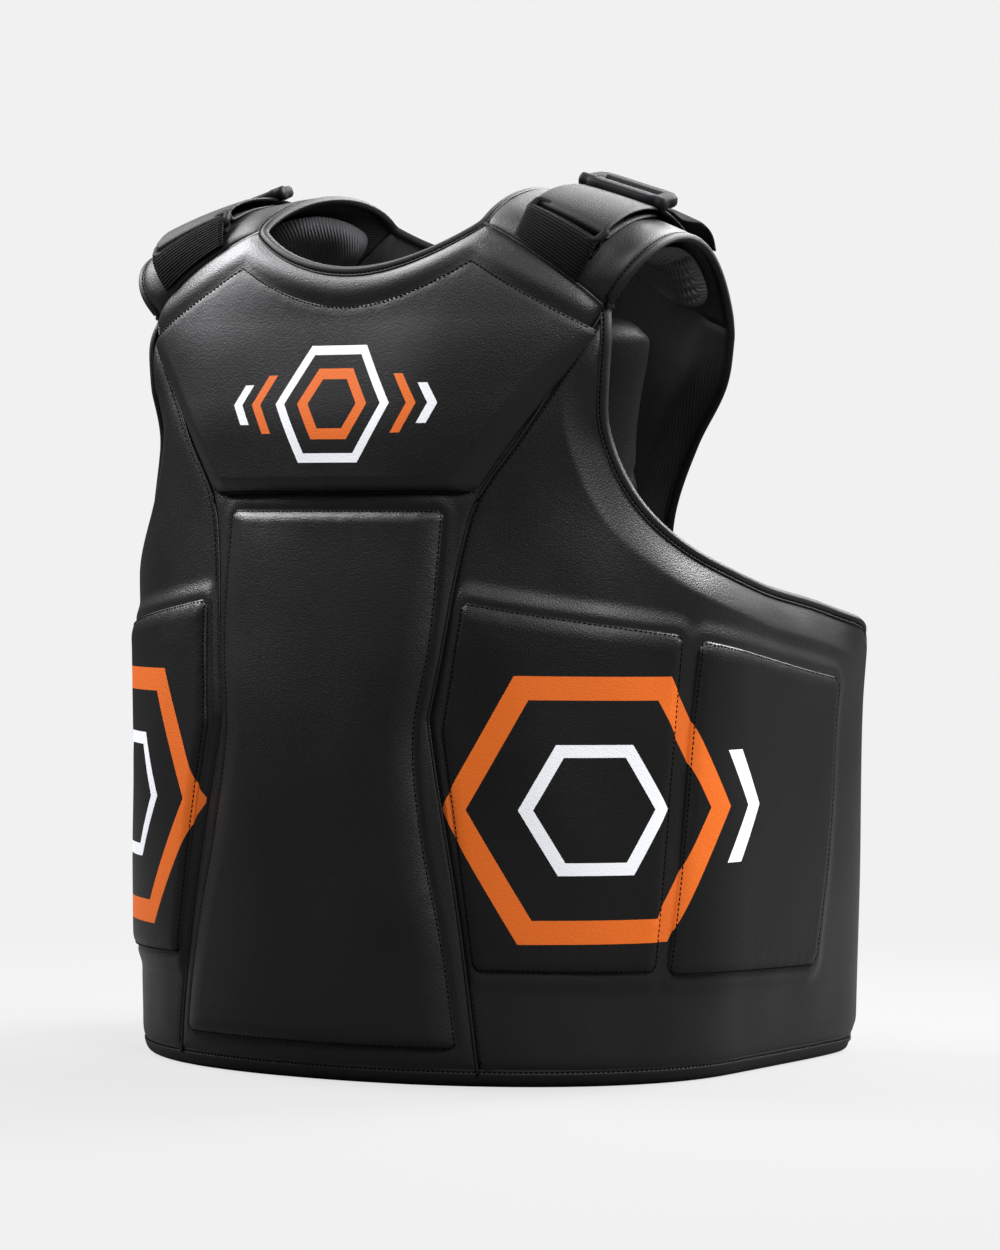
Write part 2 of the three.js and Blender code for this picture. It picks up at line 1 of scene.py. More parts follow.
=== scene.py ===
import bpy
import numpy as np
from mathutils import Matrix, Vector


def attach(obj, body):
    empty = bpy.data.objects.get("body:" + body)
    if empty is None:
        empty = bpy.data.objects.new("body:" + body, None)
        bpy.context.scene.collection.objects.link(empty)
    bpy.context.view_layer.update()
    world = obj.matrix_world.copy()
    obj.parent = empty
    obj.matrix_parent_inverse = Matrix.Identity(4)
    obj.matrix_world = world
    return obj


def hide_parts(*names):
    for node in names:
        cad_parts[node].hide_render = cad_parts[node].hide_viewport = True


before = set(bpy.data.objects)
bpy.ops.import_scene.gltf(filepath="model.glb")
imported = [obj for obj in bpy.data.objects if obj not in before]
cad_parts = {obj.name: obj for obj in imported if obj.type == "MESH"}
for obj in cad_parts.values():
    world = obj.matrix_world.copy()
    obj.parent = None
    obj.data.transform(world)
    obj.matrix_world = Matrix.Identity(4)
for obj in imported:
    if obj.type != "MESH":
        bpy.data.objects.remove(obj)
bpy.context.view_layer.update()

# Chest pad: a shaped foam pad under the cover leather, sewn all round its edge to the front panel.
# It lies on the shell's outer face, which is a stack of rings, each a superellipse open at the back.
# Lengths are in mm, angles in degrees from the middle of the front, levels up from the hem seam.
MM = 0.001
AXIS = np.array([0.0, 2.8, 3.0])  # from the shell's axis at the hem seam to the frame's origin
RINGS = {
    "level": (0, 40, 120, 228, 300, 365, 430, 480, 520, 560),
    "half_width": (219, 219, 221, 223, 229, 228, 222, 218, 206, 193),
    "front_depth": (170, 170, 167, 160, 150, 140, 133, 127, 118, 92),
    "squareness": (2.15, 2.15, 2.15, 2.15, 2.2, 2.3, 2.6, 2.95, 2.85, 2.8),
}
WING_DEPTH, WING_SQUARENESS = 225, 6
MM_PER_DEGREE = 3.7
SEAT = 1.4
CHEST = {"height": 7.5, "dip": 492, "apex": 521, "apex_share": 0.624, "corner": 472, "bottom": 371}
CHEST_ANGLES = {"bottom": 38.3, "corner": 61.1}
CHEST_EDGE = {"rise": 0.0, "spread": 12, "groove": 0.8, "ridge": 0.6, "crown": 0.8, "corner": 3}
CHEST_ROLLS = {"top": (7, 2.0), "sides": (17, 1.25), "bottom": (10, 1.7)}  # width, and power of the curve
CHEST_THIN = {"height": -0.7, "from": -0.1, "share": 0.75, "beside": 3}  # a wedge, thin along its top
CHEST_CELLS = (180, 100)
# High on the chest the pad and the panels fall to the column seams.
SEAM_DROP = {"depth": 3.5, "from": 395, "to": 455, "width": 17, "power": 1.3}
STITCH_ROW = 3  # the row of a pad's mesh, from its edge, that its stitches lie on
STITCH_RISE = 0.15  # how far the thread's middle lies above the leather there
PAD_FOOT = {"edge": 0.5, "under": 1.2}  # how far a pad's edge and underside sink into the panel
PAD_UNEVEN = {"height": 0.35, "gap": (0, 25), "length": 70, "seed": 3}
PUCKER = {"depth": 0.16, "reach": 6.0, "length": 11.0, "seed": 17}  # small folds that the stitches draw up
SIDES = {"left": False, "right": True}  # whether a piece of the left side is mirrored
PRINT_MIDDLE = {"chest": (0, 428), "ribs": (59, 172)}
PRINTS = {  # reach and width of each hexagonal band, its ink, its half height, and where it starts across
    "chest": (
        (38, 6, "white", 99, -99),
        (23, 7, "orange", 99, -99),
        (55, 6, "orange", 19, -99),
        (68, 6, "white", 13, -99),
    ),
    "ribs": ((84, 15, "orange", 99, -199), (41, 8, "white", 99, -99), (112, 12, "white", 36, 0)),
}
INK = {"white": (0.84, 0.86, 0.89, 1), "orange": (0.70, 0.135, 0.014, 1)}
LEATHER_BLACK, LEATHER_GREY = (0.0042, 0.0042, 0.0046, 1), (0.0075, 0.0075, 0.0082, 1)


def curve(table, at):
    """Smooth curves through a table's rows by its first column: cubics whose slope at a row is the mean of
    the slopes to the rows beside it. Gives an array for each of the other columns."""
    keys, *columns = (np.array(column, float) for column in table.values())
    at = np.clip(at, keys[0], keys[-1])
    i = np.clip(np.searchsorted(keys, at, side="right") - 1, 0, len(keys) - 2)
    step = np.diff(keys)
    t = (at - keys[i]) / step[i]
    found = []
    for column in columns:
        secant = np.diff(column) / step
        slope = np.concatenate([secant[:1], (secant[1:] + secant[:-1]) / 2, secant[-1:]])
        gain, here, there = secant[i] * step[i], slope[i] * step[i], slope[i + 1] * step[i]
        bend = 3 * gain - 2 * here - there + t * (here + there - 2 * gain)
        found.append(column[i] + t * (here + t * bend))
    return found


def torso(angle, level):
    """The shell's outer face: at each level, (|sin/half_width|^n + |cos/depth|^n)^(-1/n) from the axis."""
    half_width, depth, power = curve(RINGS, level)
    turn = np.radians(angle)
    in_front = np.cos(turn) > 0
    depth, power = np.where(in_front, depth, WING_DEPTH), np.where(in_front, power, WING_SQUARENESS)
    reach = np.abs(np.sin(turn) / half_width) ** power + np.abs(np.cos(turn) / depth) ** power
    radius = reach ** (-1 / power)
    return np.stack([radius * np.sin(turn), -radius * np.cos(turn), level + 0 * radius], -1)


def unit(vectors):
    """The same directions, of length one."""
    return vectors / np.maximum(np.linalg.norm(vectors, axis=-1, keepdims=True), 1e-9)


def normal(surface, u, v, step=0.01):
    """Outward normals of a surface of two parameters: the way across times the way up."""
    across = surface(u + step, v) - surface(u - step, v)
    return unit(np.cross(across, surface(u, v + step) - surface(u, v - step)))


def raised(surface, u, v, height):
    """Points that stand off a surface by a height along its normals."""
    return surface(u, v) + normal(surface, u, v) * np.asarray(height, float)[..., None]


def lerp(first, second, share):
    """From the first value to the second by a share."""
    return first + (second - first) * share


def smooth(x, low, high):
    """0 up to low, 1 from high on, and an S between."""
    t = np.clip((x - low) / (high - low), 0, 1)
    return t * t * (3 - 2 * t)


def dip(t, power=2.0):
    """How far cloth sinks towards a seam: 1 at the seam, 0 from t = 1 on. Between, a quarter of a circle for
    power 2, and nearer to a straight slope for a lower power: 1 - (1 - (1 - t)^p)^(1/p)."""
    return 1 - (1 - (1 - np.clip(t, 0, 1)) ** power) ** (1 / power)


def grid(columns, rows):
    """Two parameters from 0 to 1, the first along each row."""
    return np.meshgrid(np.linspace(0, 1, columns + 1), np.linspace(0, 1, rows + 1))


def edged(t):
    """Shares from 0 to 1 drawn towards both ends: t - 0.7 sin(2 pi t) / (2 pi)."""
    return t - 0.7 * np.sin(2 * np.pi * t) / (2 * np.pi)


def rounded(u, v, width, tall, radius):
    """A unit square's points moved so that its corners are arcs: in a corner's own square, x shrinks to
    x sqrt(1 - y*y/2) and y to y sqrt(1 - x*x/2), which turns a square into a disc."""
    reach_u, reach_v = radius / width, radius / tall
    x = np.clip(1 - np.minimum(u, 1 - u) / reach_u, 0, 1)
    y = np.clip(1 - np.minimum(v, 1 - v) / reach_v, 0, 1)
    in_u, in_v = x * (1 - np.sqrt(1 - y * y / 2)), y * (1 - np.sqrt(1 - x * x / 2))
    return u + np.sign(0.5 - u) * reach_u * in_u, v + np.sign(0.5 - v) * reach_v * in_v


def away(points, line):
    """How far each point lies from a line through points, by the nearest spot on any of its stretches."""
    start, run = line[:-1], np.diff(line, axis=0)
    size = np.maximum((run**2).sum(-1), 1e-12)
    flat, found = points.reshape(-1, 3), []
    for block in np.array_split(flat, len(flat) // 3000 + 1):
        gap = block[:, None] - start
        t = np.clip((gap * run).sum(-1) / size, 0, 1)
        found.append(np.linalg.norm(gap - t[..., None] * run, axis=-1).min(1))
    return np.concatenate(found).reshape(points.shape[:-1])


def closed(line):
    """A line that ends where it starts."""
    return np.vstack([line, line[:1]])


def travelled(line):
    """How far along a line each of its points lies."""
    return np.concatenate([[0], np.cumsum(np.linalg.norm(np.diff(line, axis=0), axis=1))])


def border(cells):
    """The outer ring of a grid, once round: along the first row, up, back and down."""
    return np.concatenate([cells[0, :-1], cells[:-1, -1], cells[-1, :0:-1], cells[:0:-1, 0]])


def ripple(points, length, seed, waves=7, scale=2.6):
    """Soft unevenness of about one unit: the sum of plane waves of about one length in seeded directions."""
    draw = np.random.default_rng(seed)
    ways = unit(draw.normal(size=(waves, 3))) * 2 * np.pi / (length * draw.uniform(0.7, 1.4, (waves, 1)))
    return np.sin(points @ ways.T + draw.uniform(0, 2 * np.pi, waves)).sum(-1) / scale


def uneven(points, gap, sizes):
    """Soft unevenness clear of an edge: a height that grows with the gap to the edge, times ripples."""
    height = sizes["height"] * smooth(gap, *sizes["gap"])
    return height * ripple(points, sizes["length"], sizes["seed"])


def faces_of(cells):
    """The four corners of each cell of a grid of point numbers, turned outwards."""
    corners = [cells[:-1, :-1], cells[:-1, 1:], cells[1:, 1:], cells[1:, :-1]]
    return np.stack(corners, -1).reshape(-1, 4)


def build(name, points, groups, slot, uv=None, mirror=False):
    """A piece from points in mm and groups of (faces, material); uv gives each point's place on the cloth."""
    if mirror:
        points = points * (-1, 1, 1)
        groups = [(faces[:, ::-1], material) for faces, material in groups]
    mesh = bpy.data.meshes.new(name)
    mesh.vertices.add(len(points))
    mesh.vertices.foreach_set("co", ((points + AXIS) * MM).astype(np.float32).ravel())
    corners = np.concatenate([faces.ravel() for faces, _ in groups]).astype(np.int32)
    sizes = np.concatenate([np.full(len(faces), faces.shape[1]) for faces, _ in groups])
    mesh.loops.add(len(corners))
    mesh.loops.foreach_set("vertex_index", corners)
    mesh.polygons.add(len(sizes))
    mesh.polygons.foreach_set("loop_start", (np.cumsum(sizes) - sizes).astype(np.int32))
    finishes = list(dict.fromkeys(material for _, material in groups))
    for material in finishes:
        mesh.materials.append(material)
    kinds = np.concatenate([np.full(len(faces), finishes.index(material)) for faces, material in groups])
    mesh.polygons.foreach_set("material_index", kinds.astype(np.int32))
    mesh.polygons.foreach_set("use_smooth", np.ones(len(sizes), bool))
    mesh.update(calc_edges=True)
    if uv is not None:
        layer = mesh.uv_layers.new(name="cloth")
        layer.uv.foreach_set("vector", (uv[corners] * MM).astype(np.float32).ravel())
    mesh.validate()
    stands_for_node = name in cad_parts
    piece = bpy.data.objects.new(f"{name}_dressed" if stands_for_node else name, mesh)
    bpy.context.scene.collection.objects.link(piece)
    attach(piece, "root")
    if stands_for_node:
        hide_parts(name)
    return piece


def wall(name, outer, inner, slot, cover, lining, uv=None, mirror=False):
    """A closed padded wall: the outer face, the inner face at every second point, and the rim between."""
    inner = inner[::2, ::2]
    fine = np.arange(outer[..., 0].size).reshape(outer.shape[:2])
    coarse = fine.size + np.arange(inner[..., 0].size).reshape(inner.shape[:2])
    edge, back = border(fine), border(coarse)
    first, middle, last = edge[::2], edge[1::2], np.roll(edge, -2)[::2]
    after = np.roll(back, -1)
    rim = [(middle, first, back), (middle, back, after), (last, middle, after)]
    rim = np.concatenate([np.stack(corners, -1) for corners in rim])
    points = np.concatenate([outer.reshape(-1, 3), inner.reshape(-1, 3)])
    groups = [(faces_of(fine), cover), (rim, cover), (faces_of(coarse)[:, ::-1], lining)]
    if uv is not None:
        uv = np.concatenate([uv.reshape(-1, 2), uv[::2, ::2].reshape(-1, 2)])
    return build(name, points, groups, slot, uv, mirror)


class Value:
    """A socket in a material. Arithmetic on it adds Math nodes."""

    def __init__(self, tree, socket):
        self.tree, self.socket = tree, socket

    def node(self, kind, settings=(), inputs=(), out=0):
        """A node of a type, with its settings, and the values or links of its sockets."""
        made = self.tree.nodes.new(kind)
        for key, value in dict(settings).items():
            setattr(made, key, value)
        for key, value in dict(inputs).items():
            if isinstance(value, Value):
                self.tree.links.new(value.socket, made.inputs[key])
            else:
                made.inputs[key].default_value = value
        return Value(self.tree, made.outputs[out])

    def math(self, operation, *values):
        """A Math node on numbers or values."""
        return self.node("ShaderNodeMath", {"operation": operation}, enumerate(values))

    def __add__(self, other):
        return self.math("ADD", self, other)

    def __sub__(self, other):
        return self.math("SUBTRACT", self, other)

    def __rsub__(self, other):
        return self.math("SUBTRACT", other, self)

    def __mul__(self, other):
        return self.math("MULTIPLY", self, other)

    def __lt__(self, other):
        return self.math("LESS_THAN", self, other)

    def __gt__(self, other):
        return self.math("GREATER_THAN", self, other)

    def __abs__(self):
        return self.math("ABSOLUTE", self)

    __radd__, __rmul__ = __add__, __mul__

    def mixed(self, first, second):
        """Two colours mixed by this value."""
        return self.node("ShaderNodeMix", {"data_type": "RGBA"}, {0: self, 6: first, 7: second}, 2)

    def noise(self, scale, detail=2.0):
        """Noise at this place, a number of waves in each metre."""
        return self.node("ShaderNodeTexNoise", {}, {"Vector": self, "Scale": scale, "Detail": detail})

    def bump(self, height, strength, distance):
        """A Bump node for a height that is worked out from this place."""
        inputs = {"Height": height, "Strength": strength, "Distance": distance}
        return self.node("ShaderNodeBump", {}, inputs)

    def cloth(self):
        """The two ways along a piece's cloth in metres, from its UV map."""
        spot = self.node("ShaderNodeUVMap", {"uv_map": "cloth"})
        return [self.node("ShaderNodeSeparateXYZ", {}, {0: spot}, out) for out in (0, 1)]

    def feeds(self, shader, socket):
        """A link from this value to a shader's socket."""
        self.tree.links.new(self.socket, shader.inputs[socket])


def material(name, **constants):
    """A new material, its shader with the constant sockets set, and its Object coordinates in metres."""
    made = bpy.data.materials.new(name)
    made.use_nodes = True
    shader = made.node_tree.nodes["Principled BSDF"]
    for socket, value in constants.items():
        shader.inputs[socket.replace("_", " ")].default_value = value
    place = made.node_tree.nodes.new("ShaderNodeTexCoord").outputs["Object"]
    return made, shader, Value(made.node_tree, place)


def hexagon(across, up, radius, width, tall, start):
    """1 inside a band round a hexagon on its flat side: the largest of |y| and |x| cos 30 + |y| sin 30 lies
    in the band. Cut off above and below, it leaves a chevron on each side."""
    reach = across.math("MAXIMUM", abs(up), abs(across) * 0.866 + abs(up) * 0.5)
    band = (reach < radius * MM) * (reach > (radius - width) * MM)
    return band * (abs(up) < tall * MM) * (across > start * MM)


def leather(name, bands=(), rough=0.36, gloss=0.35):
    """Black synthetic leather: pebbles of about 1 mm with fine pores, uneven sheen, and printed bands."""
    made, shader, place = material(name, Specular_IOR_Level=gloss)
    pebbles = place.node(
        "ShaderNodeTexVoronoi", {"feature": "SMOOTH_F1"}, {"Vector": place, "Scale": 950.0, "Smoothness": 0.6}
    )
    pores = place.noise(2600.0, 3.0)
    clouds = place.noise(14.0, 4.0)
    colour = clouds.mixed(LEATHER_BLACK, LEATHER_GREY)
    printed = None
    if bands:
        across, up = place.cloth()
        for radius, width, ink, tall, start in bands:
            band = hexagon(across, up, radius, width, tall, start)
            colour = band.mixed(colour, INK[ink])
            printed = band if printed is None else printed + band
    colour.feeds(shader, "Base Color")
    sheen = rough + (clouds - 0.5) * 0.12 + pebbles * 0.10
    if printed is not None:
        sheen = sheen + printed * 0.10
    sheen.feeds(shader, "Roughness")
    grain = pebbles * -1.0 + pores * 0.35
    place.bump(grain, 0.55, 0.00028).feeds(shader, "Normal")
    return made


PLAIN_LEATHER = leather("black_leather")
CHEST_LEATHER = leather("printed_chest_leather", PRINTS["chest"])
RIB_LEATHER = leather("printed_rib_leather", PRINTS["ribs"], gloss=0.22)


def print_place(angle, level, middle):
    """Where a spot lies from the middle of a print, in mm: along the ring at the print's level, and up."""
    turns = np.linspace(-130, 130, 521)
    ring = torso(turns, np.full(turns.shape, float(middle[1])))
    travel = travelled(ring)
    along = np.interp(angle, turns, travel) - np.interp(middle[0], turns, travel)
    return np.stack([along, level - middle[1] + 0 * angle], -1)


def seam_drop(level, gap):
    """How far the shell's face falls towards a column seam high on the chest, by the gap to the seam."""
    depth = SEAM_DROP["depth"] * smooth(level, SEAM_DROP["from"], SEAM_DROP["to"])
    return depth * dip(gap / SEAM_DROP["width"], SEAM_DROP["power"])


def sewn_pad(name, patch, cells, height, edge, rolls, cover, middle, mirror=False, thin=None):
    """A pad over a patch of the shell: it rolls up from its sewn edge, each side by its own curve, and
    crowns. Gives the sewn edge on the shell's face, as angles and levels and as points, and the rows within
    it, of which the outermost carries the stitches."""
    u, v = (edged(share) for share in grid(*cells))
    wide = torso(*patch(np.array([0.0, 1.0]), np.array([0.5, 0.5])))
    tall = torso(*patch(np.array([0.5, 0.5]), np.array([0.0, 1.0])))
    sizes = [np.linalg.norm(ends[1] - ends[0]) for ends in (wide, tall)]
    angle, level = patch(*rounded(u, v, *sizes, edge["corner"]))
    flat = torso(angle, level)
    outline = border(flat)
    gap = away(flat, closed(outline))
    low = np.full(gap.shape, edge["rise"] - edge["groove"])
    crown = edge["crown"] * 4 * np.sqrt(u * (1 - u) * v * (1 - v))
    high = SEAT + height + crown + uneven(flat, gap, PAD_UNEVEN)
    sides = {"bottom": [flat[0]], "sides": [flat[:, 0], flat[:, -1]], "top": [flat[-1]]}
    gaps = {side: np.minimum.reduce([away(flat, line) for line in lines]) for side, lines in sides.items()}
    if thin:
        reach = cells[0] // 6
        window = np.hanning(2 * reach + 3)[1:-1]
        top = np.convolve(np.pad(level[-1], reach, mode="edge"), window / window.sum(), "valid")
        below = (top - level) / (top - level[0])
        high = lerp(thin["height"], high, smooth(below, thin["from"], thin["share"]))
        low = low - seam_drop(level, gaps["sides"] + thin["beside"])
    sunk = sum(dip(gaps[side] / width, power) ** 2 for side, (width, power) in rolls.items()) ** 0.5
    lift = lerp(low - PAD_FOOT["edge"], high, 1 - np.minimum(sunk, 1))
    fold = PUCKER["depth"] * np.exp(-gap / PUCKER["reach"]) * smooth(gap, 0, 2)
    lift = lift + fold * ripple(flat, PUCKER["length"], PUCKER["seed"])
    out = normal(torso, angle, level)
    outer = flat + out * lift[..., None]
    inner = flat + out * (low - PAD_FOOT["under"])[..., None]
    uv = print_place(angle, level, middle)
    for word, turned in (SIDES if mirror else {"": False}).items():
        piece = wall(f"{name}_{word}".rstrip("_"), outer, inner, "leather", cover, cover, uv, turned)
    kept = slice(STITCH_ROW, -STITCH_ROW)
    rows = (outer + STITCH_RISE * out)[kept, kept]
    return np.stack([border(angle), border(level)], -1), outline, rows


def chest_patch(u, v):
    """The chest pad: a hexagonal bib whose top follows the neck, then falls straight to the shoulders."""
    side = np.abs(2 * u - 1)
    share = CHEST["apex_share"]
    hollow = CHEST["dip"] + (CHEST["apex"] - CHEST["dip"]) * (side / share) ** 2
    slope = lerp(CHEST["apex"], CHEST["corner"], (side - share) / (1 - share))
    top = np.where(side < share, hollow, slope)
    angle = (2 * u - 1) * lerp(CHEST_ANGLES["bottom"], CHEST_ANGLES["corner"], v)
    return angle, lerp(CHEST["bottom"], top, v)


chest_edge = sewn_pad(
    "chest_pad",
    chest_patch,
    CHEST_CELLS,
    CHEST["height"],
    CHEST_EDGE,
    CHEST_ROLLS,
    CHEST_LEATHER,
    PRINT_MIDDLE["chest"],
    thin=CHEST_THIN,
)

# Belly pad: a long foam pad below the chest pad, waisted as the front panel is, under the same leather.
# It is sewn to the front panel all round, close to the column seams.
BELLY = {"level": (20, 83, 160, 218, 276, 361), "angle": (34.7, 32, 27.2, 25.6, 29, 31.7)}
BELLY_HEIGHT, BELLY_CELLS = 5.4, (110, 170)
BELLY_EDGE = {"rise": 1.6, "spread": 10, "groove": 1.0, "ridge": 0.0, "crown": 1.6, "corner": 5}
BELLY_ROLLS = {"top": (10, 1.9), "sides": (19, 1.6), "bottom": (12, 1.8)}


def belly_patch(u, v):
    """The belly pad: its half width is a curve through its table by level."""
    level = lerp(BELLY["level"][0], BELLY["level"][-1], v)
    return (2 * u - 1) * curve(BELLY, level)[0], level


belly_edge = sewn_pad(
    "belly_pad",
    belly_patch,
    BELLY_CELLS,
    BELLY_HEIGHT,
    BELLY_EDGE,
    BELLY_ROLLS,
    PLAIN_LEATHER,
    PRINT_MIDDLE["chest"],
)

# Rib pads: two flatter foam pads on each side panel, one towards the front and one under the arm.
# Each is sewn down round its edge, and the leather climbs to the seam on a slope.
RIB_HEIGHT, RIB_CELLS = 4.6, (80, 120)
RIB_EDGE = {"rise": 3.7, "spread": 15, "groove": 1.1, "ridge": 0.0, "crown": 1.2}
RIB_ROLLS = {"top": (12, 1.8), "sides": (9, 1.9), "bottom": (9, 1.9)}
FRONT_RIB = {
    "share": (0, 0.4, 0.61, 0.65, 0.69, 1),
    "near": (37.4, 33.8, 31.75, 31.4, 31.85, 35.6),
    "far": (69.7, 71.8, 72.85, 73.05, 73.25, 74.2),
    "near_level": (70, 163, 212, 221.5, 231, 303),
    "far_level": (68, 153, 198, 206, 214.5, 282),
}
SIDE_RIB = {
    "share": (0, 0.5, 1),
    "near": (71.8, 75, 77.2),
    "far": (113.8, 117.4, 118.5),
    "near_level": (66, 173, 279),
    "far_level": (60, 160, 250),
}


def rib_patch(table):
    """A rib pad: straight across between two edges, which are curves through its table by share of height."""

    def patch(u, v):
        near, far, near_level, far_level = curve(table, v)
        return lerp(near, far, u), lerp(near_level, far_level, u)

    return patch


rib_edges = [
    sewn_pad(
        name,
        rib_patch(table),
        RIB_CELLS,
        RIB_HEIGHT,
        RIB_EDGE | {"corner": corner},
        RIB_ROLLS,
        RIB_LEATHER,
        PRINT_MIDDLE["ribs"],
        mirror=True,
    )
    for name, table, corner in (("front_rib_pad", FRONT_RIB, 6), ("side_rib_pad", SIDE_RIB, 8))
]

# Front panel: the hourglass middle of the shell, 24 mm of foam between cover leather and lining cloth.
# It is sewn to the side panels along the two column seams, where a thin welt stands in the seam.
WALL, EDGE_WALL, EDGE_TAPER = 24, 10, 45
RIM_WALL, RIM_TAPER = 4.6, 25  # the wall under a binding
SHELL_BOTTOM = 3.4
SEAM_GAP_ANGLE = 0.16
SHOULDER_CORNER = (62, 489)  # angle and level
COLUMN_SEAM = {
    "level": (0, 110, 200, 222, 228, 234, 260, 338, 367, 405, 489),
    "angle": (38.4, 34.2, 29.5, 28.45, 28.2, 28.55, 30.3, 35.5, 38.7, 47, 62),
}
NECK_SHARE, NECK_DIP, NECK_POINT, YOKE_SEAM_BEND = 2 / 3, 516, 545, 1.4
BOUND = {"lip": 4.7, "sink": 1.8, "puff": 10}  # a panel's edge under a binding, and how it swells beside it
SEAM_SINK, SEAM_PUFF = 1.7, 8
FRONT_CELLS = (192, 216)
FRONT_UNEVEN = {"height": 0.3, "gap": (4, 25), "length": 60, "seed": 5}
PAD_BED = {"depth": 1.5, "gap": (2, 7)}  # the panel lies this much lower under a pad
GROOVE = {"lip": 1.5, "width": 8}
RIDGE = {"gap": 10, "width": 5, "level": (410, 450)}
LINING_COLOURS = ((0.03, 0.03, 0.032), (0.048, 0.048, 0.05))


def lining(name, across, up, painted_light_gain=1.0, relief=0.3):
    """Black lining cloth: fine ribs along one way of the cloth, with a matte, slightly uneven colour, which a
    gain over one paints lighter as painted light.
    """
    made, shader, place = material(name, Roughness=0.9, Specular_IOR_Level=0.12)
    x, y = place.cloth()
    phase = x * (2 * np.pi * across) + y * (2 * np.pi * up)
    ribs = phase.math("SINE", phase)
    # A gain over one multiplies the cloth's colour: painted light, a lighter copy of the same cloth for a
    # spot in shade.
    dark, pale = ((*(painted_light_gain * part for part in colour), 1) for colour in LINING_COLOURS)
    place.noise(60.0, 4.0).mixed(dark, pale).feeds(shader, "Base Color")
    place.bump(ribs, relief, 0.0004).feeds(shader, "Normal")
    return made


LINING = lining("ribbed_lining", 420.0, 240.0)


def yoke_seam(share):
    """The seam at a yoke's front, from the neck to the shoulder corner, as angle and level."""
    drop = (NECK_POINT - SHOULDER_CORNER[1]) * np.abs(share) ** YOKE_SEAM_BEND
    return lerp(SHOULDER_CORNER[0] * NECK_SHARE, SHOULDER_CORNER[0], share), NECK_POINT - drop


def front_patch(u, v):
    """The front panel: between the column seams, from the hem up to the neckline and the yoke seams."""
    side = 2 * u - 1
    share = np.abs(side)
    neck = NECK_DIP + (NECK_POINT - NECK_DIP) * (share / NECK_SHARE) ** 2
    seam = yoke_seam((share - NECK_SHARE) / (1 - NECK_SHARE))[1]
    top = np.where(share < NECK_SHARE, neck, seam)
    edge = curve(COLUMN_SEAM, lerp(SHELL_BOTTOM, SHOULDER_CORNER[1], v))[0]
    return side * (edge - SEAM_GAP_ANGLE), lerp(SHELL_BOTTOM, top, v)


def within(angle, level, outline):
    """Whether each spot lies in an outline: beyond it the outline crosses its level an odd count of times."""
    a, b = outline, np.roll(outline, -1, 0)
    spot, odd = np.stack([angle.ravel(), level.ravel()], -1), []
    for block in np.array_split(spot, len(spot) // 3000 + 1):
        up = block[:, 1:]
        crossed = (a[:, 1] > up) != (b[:, 1] > up)
        climb = np.where(a[:, 1] == b[:, 1], 1e-9, b[:, 1] - a[:, 1])
        at = a[:, 0] + (up - a[:, 1]) / climb * (b[:, 0] - a[:, 0])
        odd.append((crossed & (block[:, :1] < at)).sum(1) % 2 == 1)
    return np.concatenate(odd).reshape(angle.shape)


def under_pads(angle, level, flat, edges):
    """A panel's height beside its pads: it climbs a slope to each sewn edge, sinks to the stitches there and
    lies lower under the pad. edges pairs what sewn_pad gives for each pad with the sizes of its edge."""
    climb, sink, hidden = 0, 0, 0
    for (spots, outline, _), edge in edges:
        gap = away(flat, closed(outline))
        inside = within(angle, level, spots)
        hidden = np.maximum(hidden, inside * smooth(gap, *PAD_BED["gap"]))
        gap = np.where(inside, 0, gap)
        ridge = edge["ridge"] * np.exp(-(((gap - RIDGE["gap"]) / RIDGE["width"]) ** 2))
        ridge = ridge * smooth(level, *RIDGE["level"])
        climb = np.maximum(climb, edge["rise"] * (1 - smooth(gap, 0, edge["spread"])) + ridge)
        sink = np.maximum(sink, edge["groove"] * dip((gap - GROOVE["lip"]) / GROOVE["width"]))
    return climb - sink - PAD_BED["depth"] * hidden


def seam_sink(gap):
    """How far a panel sinks to a seam, by the gap to it."""
    return SEAM_SINK * dip(gap / SEAM_PUFF)


def bound_sink(gap):
    """How far a panel sinks to a binding, by the gap to the bound edge."""
    return BOUND["sink"] * dip((gap - BOUND["lip"]) / BOUND["puff"])


def side_gap(flat):
    """How far each point of a panel lies from the nearer of its two side edges."""
    return np.minimum(away(flat, flat[:, 0]), away(flat, flat[:, -1]))


def shoulder_gap(flat, neck_columns):
    """How far each point of a panel lies from its upper edge on both sides of the neck."""
    before, after = flat[-1, : neck_columns.start + 1], flat[-1, neck_columns.stop - 1 :]
    return np.minimum(away(flat, before), away(flat, after))


def square_to(run):
    """Two directions square to each run and to each other, the first level unless the run is steep."""
    first = unit(np.cross(run, np.where(np.abs(run[:, 2:]) > 0.9, [[1.0, 0, 0]], [[0, 0, 1.0]])))
    return first, np.cross(run, first)


def tube(line, radius, sides):
    """Points and faces of a closed tube round a line: rings square to its run, and a fan at each end."""
    first, second = square_to(unit(np.gradient(line, axis=0)))
    turn = np.linspace(0, 2 * np.pi, sides, endpoint=False)[:, None]
    ring = np.cos(turn) * first[:, None] + np.sin(turn) * second[:, None]
    points = np.vstack([(line[:, None] + radius * ring).reshape(-1, 3), line[:1], line[-1:]])
    cells = np.arange(len(line) * sides).reshape(-1, sides)
    body = faces_of(np.hstack([cells, cells[:, :1]]))
    caps = []
    for row, hub, turned in ((cells[0], cells.size, -1), (cells[-1], cells.size + 1, 1)):
        fan = np.stack([row, np.roll(row, -1), np.full(sides, hub)], -1)
        caps.append(fan[:, ::turned])
    return points, [body, np.concatenate(caps)]


